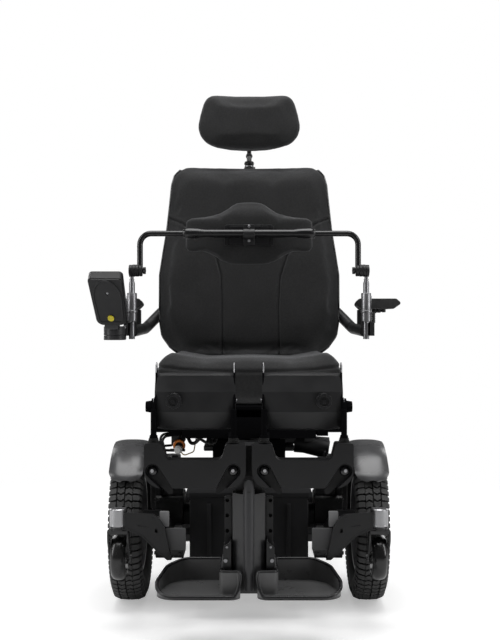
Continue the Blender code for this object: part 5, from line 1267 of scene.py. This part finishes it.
# %% Bend the arms and mould their pads
shape = bmesh.new()
path = [(0.217, 0.5, 0.664), (0.24, 0.466, 0.67), (0.28, 0.395, 0.623), (ARM_X, 0.09, 0.619)]
pipe(shape, smooth_path(path, (0, 0.024, 0.045), 14), 0.0145, 32)
rod(shape, "X", (0.2022, 0.232), (0.5, 0.664), 0.0192, 56)
rod(shape, "X", (0.2318, 0.2342), (0.5, 0.664), 0.012, 40)
for y, low, high in ((0.18, 0.28, 0.296), (0.33, 0.286, 0.306)):
    block(shape, (low, high), around(y, 0.014), (0.622, 0.6725))
    block(shape, (0.296, 0.34), around(y, 0.012), (0.666, 0.6727))
place_pair(shape, "arm_tube", black_coat, "armrest_SIDE", "armrest_tube_SIDE", edge=0.0012, rounds=3)
shape = bmesh.new()
PAD_X, PAD_HALF = 0.314, 0.0585
section = [
    (PAD_X - PAD_HALF, 0.687, 0.005), (PAD_X - PAD_HALF + 0.013, 0.6985, 0.009),
    (PAD_X + PAD_HALF - 0.013, 0.6985, 0.009), (PAD_X + PAD_HALF, 0.687, 0.005),
    (PAD_X + PAD_HALF - 0.02, 0.6732, 0.004), (PAD_X - PAD_HALF + 0.02, 0.6732, 0.004),
]
plank(shape, section, (0.1125, 0.4045), "Y", 8)
for vert in shape.verts:
    if vert.co.y > 0.25:
        vert.co.x = 0.3225 + 0.68 * (vert.co.x - PAD_X)
place_pair(shape, "arm_pad", pad_rubber, "armrest_SIDE", "armrest_pad_SIDE", edge=0.006, rounds=6, sharp=60)
shape = bmesh.new()
collar = [
    (0.0076, 0.642), (0.0112, 0.642), (0.012, 0.643), (0.0122, 0.664), (0.014, 0.6645), (0.014, 0.669),
    (0.0122, 0.6695),
    (0.0122, 0.7095), (0.0112, 0.711), (0.0076, 0.711),
]
turned(shape, [(radius, along - 0.68) for radius, along in collar], "Z", (ARM_X, REACH_Y, 0.68), 56)
place_pair(shape, "post_receiver", satin_steel, "armrest_SIDE", edge=0.0005)
shape = bmesh.new()
for spans in (
    ((0.2725, 0.287), (0.09, 0.115), (0.608, 0.64)),
    ((0.29, 0.301), (0.07, 0.092), (0.608, 0.64)),
    ((0.274, 0.28), (0.092, 0.1), (0.662, 0.676)),
    ((0.274, 0.296), (0.086, 0.096), (0.612, 0.704)),
):
    block(shape, *spans)
place_pair(shape, "receiver_blocks", black_plastic, "armrest_SIDE", edge=0.001, rounds=3)
shape = bmesh.new()
rod(shape, "Z", (0.598, 0.6088), (-0.3225, 0.075), 0.0262, 72)
block(shape, (-0.311, -0.296), (0.0635, 0.0865), (0.599, 0.608))
place_piece(shape, "swing_plate", grey_coat, "armrest_right", edge=0.001, rounds=3)
shape = bmesh.new()
boot = (0.2995, 0.08)
for number in range(6):
    rod(shape, "Z", (0.64 + 0.0042 * number, 0.643 + 0.0042 * number), boot, 0.005, 24, 0.0042)
rod(shape, "Z", (0.639, 0.665), boot, 0.0036, 24)
for x, y, z in ((0.312, 0.16, 0.669), (0.322, 0.16, 0.67), (0.334, 0.16, 0.671)):
    rod(shape, "Z", (z - 0.006, z + 0.004), (x, y), 0.0042, 16)
place_pair(shape, "receiver_boot", pad_rubber, "armrest_SIDE", edge=0.0004)

# %% Mould the joystick
STICK = Matrix.Translation((-0.33, 0.005, 0.6955)) @ Matrix.Rotation(math.radians(-60), 4, "X")


def stand_stick(shape, lean=0.1):
    """Tip a joystick piece up on its end, leaning a little to the inside as it comes down."""
    bmesh.ops.transform(shape, matrix=STICK, verts=shape.verts)
    for vert in shape.verts:
        vert.co.x += lean * (0.7216 - vert.co.z)


shape = bmesh.new()
wide, long = 0.0405, 0.062
outline = [
    (-wide, -long, 0.009), (wide, -long, 0.009), (wide - 0.005, long, 0.015), (-wide + 0.005, long, 0.015),
]
plank(shape, outline, (-0.0145, 0.0205), "Z", 10)
plank(shape, [(a * 0.955, b * 0.97, r) for a, b, r in outline], (-0.019, -0.014), "Z", 10)
turns = [math.pi * step / 24 for step in range(25)]
arch = [Vector((0.0335 * math.cos(t), -0.012 - 0.047 * math.sin(t))) for t in turns]
foot = [(-0.0335, -0.0119, 0), (-0.029, 0.054, 0.008), (0.029, 0.054, 0.008), (0.0335, -0.0119, 0)]
oval = arch + rounded(foot, 8)[1:-1]
inner = [Vector((point.x * 0.9, point.y * 0.94 - 0.0005)) for point in oval]
slab(shape, [oval, inner], (-0.022, -0.0185), "Z")
slab(shape, [inner], (-0.0205, -0.0185), "Z")
hole, seat = bmesh.new(), bmesh.new()
rod(hole, "Z", (-0.024, -0.015), (0.001, -0.024), 0.0036, 24)
knob_ball(seat, (0, -0.018, 0.0205), 0.0098)
rod(shape, "Z", (0.02, 0.0275), (0, -0.018), 0.018, 64, 0.014)
for x in (-0.022, 0, 0.022):
    block(shape, around(x, 0.0068), around(0.032, 0.0048), (0.02, 0.0224))
shape = drilled(shape, hole, seat)
stand_stick(shape)
place_piece(
    shape, "joystick_case", black_plastic, "joystick", "joystick_housing", edge=0.0012, rounds=3, sharp=40
)
shape = bmesh.new()
rod(shape, "Z", (-0.024, -0.02), (0, 0.04), 0.0074, 48)
stand_stick(shape)
place_piece(shape, "joystick_cap", yellow, "joystick", edge=0.0006, rounds=3)
shape = bmesh.new()
rod(shape, "Z", (-0.0185, -0.016), (0.001, -0.024), 0.003, 24)
stand_stick(shape)
place_piece(shape, "joystick_screw", satin_steel, "joystick", edge=0.0003)
shape = bmesh.new()
rod(shape, "Z", (0.025, 0.046), (0, -0.018), 0.004)
knob_ball(shape, (0, -0.018, 0.021), 0.0086)
tip = [
    (0, 0.044), (0.008, 0.044), (0.0102, 0.048), (0.0106, 0.054), (0.009, 0.061), (0.005, 0.0625), (0, 0.0625),
]
turned(shape, tip, "Z", (0, -0.018, 0), 48)
stand_stick(shape, 0)
place_piece(shape, "joystick_stalk", pad_rubber, "stick", "joystick_lever", edge=0.0005)
shape = bmesh.new()
rod(shape, "Z", (0.6093, 0.631), (-0.3225, 0.075), 0.0262, 72)
plank(
    shape, [(0.065, 0.624, 0.004), (0.024, 0.624, 0.004), (0.018, 0.656, 0.006), (0.052, 0.656, 0.006)],
    (-0.34, -0.308), "X",
)
place_piece(shape, "joystick_swing", grey_coat, "joystick", "joystick_arm", edge=0.0012, rounds=3)
shape = bmesh.new()
rod(shape, "Y", (0.07, 0.0672), (-0.2985, 0.629), 0.0042, 24)
place_piece(shape, "receiver_screw", zinc, "armrest_right", edge=0.0004)
print("chest support, armrests and joystick are on")

# %% [markdown]
# ## Back frame, shell and headrest post
# Behind the cushion a thin glossy shell wraps forward at the sides, where its edge catches the light. Two posts carry
# it and end in a push bar. The headrest stands on a flat post in a socket, with two flared clamps and two balls.

# %% Press the shell and bend the frame
BACK_HALF = [
    (0.541, 0.15), (0.552, 0.18), (0.57, 0.208), (0.603, 0.2315), (0.64, 0.237), (0.681, 0.238),
    (0.768, 0.2375),
    (0.83, 0.228), (0.888, 0.2185), (0.96, 0.2105), (1.015, 0.205), (1.038, 0.198), (1.054, 0.184),
    (1.066, 0.16),
]


def table(value, rows):
    """A value read off rows of (place, value), straight between them."""
    if value <= rows[0][0]:
        return rows[0][1]
    for (a, low), (b, high) in zip(rows, rows[1:]):
        if value <= b:
            return low + (high - low) * (value - a) / (b - a)
    return rows[-1][1]


def wrapped(x):
    """How far the back's shell and cushion come forward at a distance from the middle."""
    return 0.036 * (x / 0.24) ** 2


shape = bmesh.new()
grid = bmesh.ops.create_grid(shape, x_segments=60, y_segments=60, size=1)["verts"]
for vert in grid:
    u, v = vert.co.x, vert.co.y
    z = 0.548 + 0.2535 * (v + 1)
    half = table(z, BACK_HALF) + 0.0045
    lip = 0.016 * max(0, (abs(u) - 0.93) / 0.07) ** 1.5
    vert.co = (half * u, 0.4685 - wrapped(half * u) - lip, z)
thicken(shape, 0.0055)
place_piece(shape, "shell_of_back", gloss_black, "recline", "back_shell", edge=0.0018, rounds=3, sharp=50)
ARM_PIN, PUSH_BAR = (0.5, 0.664), (0.55, 1.0)
shape = bmesh.new()
for s in (1, -1):
    x = s * 0.14
    rod(shape, "X", (x - 0.016, x + 0.016), (0.412, 0.47), 0.0248, 64)
    path = [(x, 0.417, 0.475), (x, 0.5, 0.56), (x, 0.5, 0.965), (x, 0.55, 1.0)]
    pipe(shape, smooth_path(path, (0, 0.06, 0.04, 0), 14), 0.0125, 32)
    rods(
        shape, "X",
        ((s * 0.19, s * 0.2004), ARM_PIN, 0.015, 40),
        ((s * 0.2, s * 0.2325), ARM_PIN, 0.007),
        ((s * 0.176, s * 0.186), PUSH_BAR, 0.015, 40),
    )
rods(
    shape, "X",
    (each_side(0.2003), ARM_PIN, 0.011, 40),
    (each_side(0.18), PUSH_BAR, 0.0135, 48),
    (each_side(0.14), (0.5, 0.88), 0.009),
)
block(shape, each_side(0.146), (0.4748, 0.4935), (0.686, 0.714))
for s in (1, -1):
    block(shape, beside(s, 0.0104, 0.018), (0.4806, 0.5055), (0.85, 0.99))
for y in ((0.4806, 0.4886), (0.4994, 0.5055)):
    block(shape, each_side(0.018), y, (0.85, 0.99))
place_piece(shape, "frame_of_back", black_coat, "recline", "back_frame", edge=0.0014, rounds=3)
shape = bmesh.new()
for s in (1, -1):
    rod(shape, "Y", (0.493, 0.4965), (s * 0.085, 0.7), 0.0065, 6)
    rod(shape, "X", (s * 0.2325, s * 0.2344), ARM_PIN, 0.006, 24)
rod(shape, "Y", (0.505, 0.509), (0, 0.965), 0.006, 6)
rod(shape, "Y", (0.505, 0.516), (0, 0.88), 0.005, 24)
place_piece(shape, "frame_screws", zinc, "recline", edge=0.0004)

# %% Stack the headrest post
shape = bmesh.new()
block(shape, each_side(0.012), (0.489, 0.499), (0.862, 1.082))
rings = [
    (0, -0.001), (0.011, -0.001), (0.0135, 0.002), (0.014, 0.005), (0.0124, 0.009), (0.011, 0.0105),
    (0, 0.0105),
]
for z, grown in ((1.062, 0.0018), (1.078, 0)):
    turned(shape, [(radius + grown if radius else 0, along) for radius, along in rings], "Z", (0, 0.494, z), 40)
bar(shape, (0, 0.496, 1.078), (0, 0.5255, 1.108), 0.0068, 32)
knob_ball(shape, (0, 0.5255, 1.108), 0.0095)
bar(shape, (0, 0.5255, 1.108), (0, 0.519, 1.185), 0.0062, 32)
knob_ball(shape, (0, 0.517, 1.185), 0.0102)
rod(shape, "Y", (0.517, 0.497), (0, 1.185), 0.006, 24)
rod(shape, "X", (-0.0108, 0.0108), (0.497, 1.185), 0.0128, 48)
place_piece(shape, "headrest_stalk", black_coat, "head_post", "headrest_post")
shape = bmesh.new()
rod(shape, "Z", (1.073, 1.0765), (0, 0.494), 0.0128, 40)
rod(shape, "X", (0.0135, 0.017), (0.494, 1.0705), 0.0034, 20)
place_piece(shape, "headrest_rings", satin_steel, "head_post", edge=0.0005)
print("back frame, shell and headrest post are on")

# %% [markdown]
# ## Under the seat
# Between the knee shells and their carriers one looks in under the seat. A plug with an orange collar and a pale knob
# hangs there, with a yellow wire and black looms looped from rail to rail. On the other side is the tilt motor: a can
# that leans outwards, with a bare steel ring on its end.

# %% Turn the tilt motor's can
MOTOR_INNER, MOTOR_OUTER = Vector((0.119, 0.064, 0.355)), Vector((0.186, 0.064, 0.3378))
MOTOR_R = 0.0232


def along_motor(share):
    """A point on the motor's axis, from 0 at its inner end to 1 at its outer one."""
    return MOTOR_INNER.lerp(MOTOR_OUTER, share)


shape = bmesh.new()
for start, end, less, sides in ((0, 0.9, 0, 56), (0.96, 1.04, 0.002, 56), (-0.12, 0.02, 0.006, 40)):
    bar(shape, along_motor(start), along_motor(end), MOTOR_R - less, sides)
block(shape, (0.13, 0.148), (0.035, 0.048), (0.358, 0.372))
place_piece(shape, "tilt_motor_can", black_coat, "lift", edge=0.0014, rounds=3)
shape = bmesh.new()
bar(shape, along_motor(0.9), along_motor(0.96), MOTOR_R - 0.0006, 56)
place_piece(shape, "tilt_motor_ring", satin_steel, "lift", edge=0.0005)
shape = bmesh.new()
for sign in (1, -1):
    block(shape, beside(sign, 0.038, 0.084), (-0.018, 0.018), (0.323, 0.368))
place_piece(shape, "lift_cheeks", shadow_coat, "lift", edge=0.0014)

# %% Hang the plug and the looms
shape = bmesh.new()
collar = [(0.0088, -0.003), (0.0128, -0.003), (0.0138, 0), (0.0138, 0.006), (0.0128, 0.009), (0.0088, 0.009)]
turned(shape, collar, "Y", (-0.156, -0.1, 0.365), 48)
place_piece(shape, "plug_collar", orange, "tilt", edge=0)
shape = bmesh.new()
rod(shape, "Y", (-0.122, -0.104), (-0.157, 0.3575), 0.0092, 48)
rod(shape, "Y", (-0.125, -0.12), (-0.157, 0.3575), 0.006)
place_piece(shape, "plug_knob", pale_plastic, "tilt", edge=0.0012, rounds=3)
shape = bmesh.new()
rod(shape, "Y", (-0.102, -0.06), (-0.156, 0.365), 0.0086, 40)
block(shape, (-0.174, -0.156), (-0.098, -0.06), (0.364, 0.39))
block(shape, (-0.16, -0.144), (-0.09, -0.055), (0.372, 0.3905))
rod(shape, "X", (-0.166, -0.176), (-0.112, 0.356), 0.0035, 24)
rod(shape, "X", (-0.149, -0.142), (-0.112, 0.356), 0.003, 24)
place_piece(shape, "plug_bracket", black_plastic, "tilt", edge=0.0012)


def loom(name, points, bends, radius, finish):
    """A cable clipped at both ends; the length of its own path is printed."""
    path = smooth_path(points, bends, 6)
    shape = bmesh.new()
    pipe(shape, path, radius, 16)
    piece = place_piece(shape, name, finish, "tilt", edge=0)
    line = [place + Vector((0, AXLE_Y, 0)) for place in path]
    length = sum((b - a).length for a, b in zip(line, line[1:]))
    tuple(line[0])
    print(name, "is", round(length * 1000), "mm long")


LOOMS = {
    "loom_of_plug": (
        0.003, (-0.17, -0.095, 0.388), (-0.192, -0.11, 0.386), (-0.194, -0.11, 0.356), (-0.17, -0.085, 0.352),
    ),
    "loom_of_stick": (
        0.0028, (-0.174, -0.09, 0.392), (-0.197, -0.104, 0.39), (-0.199, -0.104, 0.364), (-0.176, -0.07, 0.362),
    ),
    "loom_of_tilt": (
        0.004, (-0.142, -0.06, 0.384), (-0.128, -0.082, 0.362), (-0.098, -0.085, 0.392), (-0.074, -0.06, 0.392),
    ),
    "loom_of_stand": (
        0.0034, (-0.148, -0.06, 0.388), (-0.118, -0.076, 0.382), (-0.082, -0.08, 0.36), (-0.066, -0.04, 0.39),
    ),
}
for loom_name, (loom_radius, *points) in LOOMS.items():
    loom(loom_name, points, (0, 0.012, 0.012, 0), loom_radius, cable_black)
wire_points = [(-0.153, -0.1, 0.356), (-0.148, -0.104, 0.342), (-0.124, -0.09, 0.35), (-0.118, -0.06, 0.39)]
loom("plug_wire", wire_points, (0, 0.008, 0.01, 0), 0.0013, wire_yellow)
print("plug and looms are under the seat")

# %% [markdown]
# ## Cushions and pads
# Each pad starts as two grids, its face and its back, laid slightly inside the finished size and bridged round the
# rim. A voxel remesh gives it an even skin. Blender's Cloth then blows it up like a bladder, held still where it
# rests on its shell or pan, and the amount any place may move is capped. The sewn seams are pressed in afterwards,
# because a remesh would wipe them out.

# %% Tools for soft pieces
CLOTH_FRAMES = 20


def padded_shape(place, columns=24, rows=20):
    """A face and a back from place(u, v, back), with u and v from -1 to 1, bridged round the rim."""
    shape = bmesh.new()
    rims = []
    for back in (False, True):
        grid = bmesh.ops.create_grid(shape, x_segments=columns, y_segments=rows, size=1)["verts"]
        edges = {edge for vert in grid for edge in vert.link_edges if edge.is_boundary}
        for vert in grid:
            vert.co = place(vert.co.x, vert.co.y, back)
        rims.append(edges)
    bmesh.ops.bridge_loops(shape, edges=list(rims[0] | rims[1]))
    bmesh.ops.recalc_face_normals(shape, faces=shape.faces)
    return shape


def as_object(shape, name):
    bmesh.ops.translate(shape, verts=shape.verts, vec=(0, AXLE_Y, 0))
    return add_object(name, as_mesh(shape, name))


def between(value, span):
    """A share kept from 0 to 1, of a value in a span."""
    return max(0.0, min(1.0, value / span))


def apply_modifiers(obj):
    mesh = evaluated(obj)
    obj.modifiers.clear()
    obj.data = mesh


def smooth(obj, rounds):
    """Add a Smooth modifier of so many rounds."""
    obj.modifiers.new("smooth", "SMOOTH").iterations = rounds


def blown_up(obj, voxel, cap, free, pressure):
    """Remesh the pad, blow it up as cloth, and keep each move under cap times free(place)."""
    skin = obj.modifiers.new("skin", "REMESH")
    skin.mode = "VOXEL"
    skin.voxel_size = voxel
    smooth(obj, 6)
    apply_modifiers(obj)
    cloth = obj.modifiers.new("cloth", "CLOTH")
    cloth.settings.use_pressure = True
    cloth.settings.uniform_pressure_force = pressure
    cloth.settings.effector_weights.gravity = 0
    cloth.settings.quality = 4
    cloth.point_cache.frame_start = 1
    cloth.point_cache.frame_end = CLOTH_FRAMES
    start = [vert.co.copy() for vert in obj.data.vertices]
    for frame_number in range(1, CLOTH_FRAMES + 1):
        bpy.context.scene.frame_set(frame_number)
    graph = bpy.context.evaluated_depsgraph_get()
    swollen = obj.evaluated_get(graph).data
    for vert, old, new in zip(obj.data.vertices, start, [v.co.copy() for v in swollen.vertices]):
        move = (new - old) * free(old)
        vert.co = old + move * min(1, cap / max(move.length, 1e-9))
    obj.modifiers.clear()
    bpy.context.scene.frame_set(1)
    smooth(obj, 3)
    finer = obj.modifiers.new("finer", "SUBSURF")
    finer.levels = finer.render_levels = 1
    apply_modifiers(obj)


def from_line(x, z, line):
    """How far a place is from a seam drawn on the front."""
    nearest = 1.0
    for (ax, az), (bx, bz) in zip(line, line[1:]):
        dx, dz = bx - ax, bz - az
        along = max(0, min(1, ((x - ax) * dx + (z - az) * dz) / (dx * dx + dz * dz)))
        nearest = min(nearest, math.hypot(x - ax - along * dx, z - az - along * dz))
    return nearest


def press_seams(obj, lines, depth, width, flat=("x", "z"), facing=lambda normal: normal.y < -0.15):
    """Sink each seam into the pad, with the cloth puffed a little on either side of it."""
    obj.data.update()
    moves = []
    for vert in obj.data.vertices:
        move = 0
        if facing(vert.normal):
            place = [getattr(vert.co, axis) for axis in flat]
            away = min(from_line(*place, line) for line in lines)
            move = -depth * math.exp(-((away / width) ** 2))
            move += 0.22 * depth * math.exp(-(((away - 2.6 * width) / (1.6 * width)) ** 2))
        moves.append(vert.normal * move)
    for vert, move in zip(obj.data.vertices, moves):
        vert.co += move


def finish_pad(obj, body, *nodes, fill, finishes=(knit,), second=None):
    """Give the pad its cloth, a second one where asked, and hang it on its body."""
    for finish in finishes:
        obj.data.materials.append(finish)
    if second:
        for face in obj.data.polygons:
            face.material_index = 1 if second(face) else 0
    obj.data.shade_smooth()
    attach(obj, body)
    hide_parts(*nodes)
    print(obj.name, len(obj.data.vertices), "points")


# %% [markdown]
# ### Seat cushion
# Seen from the front its top is a shallow W: two bolsters at the sides and a low pommel in the middle. A seam runs
# along its front and sides just under the top edge, and the cushion is flat only where it lies on the pan.

# %% Blow up the seat cushion
SEAT_TOP = [(0, 0.003), (0.06, 0.001), (0.1, -0.001), (0.15, 0.006), (0.185, 0.013), (0.209, 0.01)]


def seat_place(u, v, back):
    x, y = 0.213 * u, 0.14 + 0.236 * v
    rim = max(abs(u), abs(v))
    if back:
        return Vector((x * (0.985 if rim == 1 else 1), y, 0.456))
    top = 0.553 + table(abs(x), SEAT_TOP)
    top -= 0.004 * (v + 1)
    drop = 0.015 * max(0, (abs(u) - 0.92) / 0.08) ** 2
    drop += 0.018 * max(0, (-v - 0.92) / 0.08) ** 2
    drop += 0.016 * max(0, (v - 0.9) / 0.1) ** 2
    return Vector((x, y, top - drop))


cushion = as_object(padded_shape(seat_place, 30, 34), "seat_cushion_cover")
blown_up(cushion, 0.006, 0.008, lambda place: between(place.z - 0.459, 0.03), 4)
rim_line = [(-0.203, 0.541), (-0.15, 0.534), (0, 0.528), (0.15, 0.534), (0.203, 0.541)]
press_seams(cushion, [rim_line], 0.0022, 0.0028)
side_line = [(-0.3, 0.541), (0.3, 0.537)]
press_seams(cushion, [side_line], 0.0022, 0.0028, ("y", "z"), lambda normal: abs(normal.x) > 0.6)
finish_pad(cushion, "stand", "seat_cushion", fill=0.7)

# %% [markdown]
# ### Back cushion
# The back is widest at the waist and narrows to rounded shoulders. A long seam on each side parts a bolster from the
# middle panel: it starts at the side under the arm, sweeps in below the chest pad and drops almost straight to the
# bottom edge. Narrow gussets of a coarser knit close the sides.

# %% Blow up the back cushion
def back_place(u, v, back):
    z = 0.544 + 0.261 * (v + 1)
    x = (table(z, BACK_HALF) + 0.0085) * u
    rear = 0.468 - wrapped(x) - 0.0026
    if back:
        return Vector((x, rear, z))
    bolster = 0.018 * table(abs(u), [(0.3, 0), (0.42, 0.5), (0.62, 1), (0.86, 1), (1, 0.6)])
    bolster *= table(z, [(0.55, 0.3), (0.64, 1), (0.8, 1), (0.93, 0.35), (1.05, 0.1)])
    front = 0.412 - bolster - 0.004 * (1 - u * u)
    edge = max(abs(u) ** 9, abs(v) ** 18)
    return Vector((x, front + (rear - 0.016 - front) * edge, z))


cushion = as_object(padded_shape(back_place, 36, 40), "back_cushion_cover")
blown_up(
    cushion, 0.0055, 0.009, lambda place: between(0.468 - wrapped(place.x) + AXLE_Y - 0.012 - place.y, 0.02), 4
)
right_seam = [
    (0.214, 0.922), (0.179, 0.906), (0.135, 0.868), (0.102, 0.82), (0.084, 0.762), (0.0794, 0.681),
    (0.0826, 0.53),
]
left_seam = [
    (-0.214, 0.922), (-0.179, 0.906), (-0.128, 0.866), (-0.0894, 0.817), (-0.0759, 0.768), (-0.0731, 0.7),
    (-0.0731, 0.53),
]
press_seams(cushion, [right_seam, left_seam], 0.004, 0.0025)
at_side = lambda face: abs(face.normal.x) > 0.8
finish_pad(cushion, "recline", "back_cushion", fill=0.7, finishes=(knit, side_knit), second=at_side)

# %% [markdown]
# ### Headrest, chest pad and knee pads
# The headrest is a rounded trapezoid bowed round the head. The chest pad has a hump at the top, where its bar passes,
# and a dropped middle. The knee pads lie behind their shells.

# %% Blow up the three small pads
HEAD_HALF = [
    (1.116, 0.08), (1.122, 0.102), (1.1325, 0.1205), (1.15, 0.135), (1.17, 0.1415), (1.19, 0.14),
    (1.215, 0.134),
    (1.24, 0.127), (1.252, 0.121), (1.26, 0.112), (1.266, 0.098),
]


def head_place(u, v, back):
    z = 1.118 + 0.073 * (v + 1)
    x = table(z, HEAD_HALF) * u
    z += (0.006 if v > 0 else -0.006) * abs(v) * (1 - u * u)
    wrap = 0.02 * u * u
    edge = max(abs(u) ** 7, abs(v) ** 7)
    if back:
        return Vector((x, 0.4905 - wrap * 1.2 - 0.012 * edge, z))
    return Vector((x, 0.433 - wrap + 0.026 * edge, z))


CHEST_HIGH = [
    (0, 0.94), (0.02, 0.9395), (0.038, 0.935), (0.055, 0.923), (0.072, 0.913), (0.095, 0.907), (0.125, 0.901),
    (0.148, 0.896),
    (0.158, 0.888),
]
CHEST_LOW = [
    (0, 0.775), (0.042, 0.776), (0.07, 0.785), (0.09, 0.799), (0.11, 0.807), (0.135, 0.809), (0.15, 0.811),
    (0.158, 0.82),
]


def chest_place(u, v, back):
    x = 0.158 * u
    low, high = table(abs(x), CHEST_LOW), table(abs(x), CHEST_HIGH)
    z = low + (high - low) * (v + 1) / 2
    wrap = 0.098 + 0.003 + 0.029 * u * u
    edge = max(abs(u) ** 8, abs(v) ** 7)
    if back:
        return Vector((x, wrap + 0.034 - 0.016 * edge, z))
    return Vector((x, wrap + 0.003 + 0.008 * edge, z))


def knee_place(side):
    def place(u, v, back):
        x = side * (0.107 + 0.0735 * u)
        z = 0.484 + 0.0525 * v
        edge = max(abs(u) ** 8, abs(v) ** 8)
        if back:
            return Vector((x, -0.329 + 0.018 * (1 - abs(u)) * 0.6 - 0.022 * edge, z))
        return Vector((x, knee_front(u, v) + 0.0062 + 0.002, z))
    return place


cushion = as_object(padded_shape(head_place, 30, 18), "headrest_cover")
blown_up(cushion, 0.005, 0.006, lambda place: 1.0, 5)
rear_rim = [(-0.125, 1.15), (-0.105, 1.25), (0.105, 1.25), (0.125, 1.15)]
press_seams(cushion, [rear_rim], 0.0022, 0.0026, facing=lambda normal: normal.y > 0.5)
finish_pad(cushion, "head_tilt", "headrest_pad", fill=0.75)
cushion = as_object(padded_shape(chest_place, 36, 16), "chest_pad_cover")
behind_plate = lambda place: between(place.y - AXLE_Y - 0.1 - 0.029 * (place.x / 0.159) ** 2, 0.006)
blown_up(cushion, 0.0045, 0.006, behind_plate, 5)
finish_pad(cushion, "chest_bar", "chest_pad", fill=0.7)
for side, word in SIDES:
    cushion = as_object(padded_shape(knee_place(side), 16, 14), f"knee_pad_cover_{word}")
    blown_up(cushion, 0.005, 0.005, lambda place: between(place.y - AXLE_Y + 0.372, 0.02), 4)
    finish_pad(cushion, f"knee_{word}", f"knee_pad_{word}", fill=0.7)
print("soft goods are on")

# %% [markdown]
# ## Plain pieces
# These solids already have the right shape, so each only gets rounded edges and its finish.

# %% Dress the pieces that keep their CAD shape
PLAIN = {
    "base_frame": black_coat, "base_shroud": cover_plastic, "battery_front": cover_plastic,
    "battery_rear": black_plastic, "power_module": black_plastic, "lift_column": black_coat,
    "lift_head": black_coat, "tilt_actuator": black_plastic, "stand_actuator": black_plastic,
    "tilt_frame": shadow_coat, "seat_frame": shadow_coat, "back_carrier": black_coat,
}
for node_name, node_finish in PLAIN.items():
    if not frame["nodes"][node_name].hide_render:
        dressed(node_name, node_finish)
print("dressed as they are:", len(PLAIN))

# %% [markdown]
# ## End

# %% Finish
import json
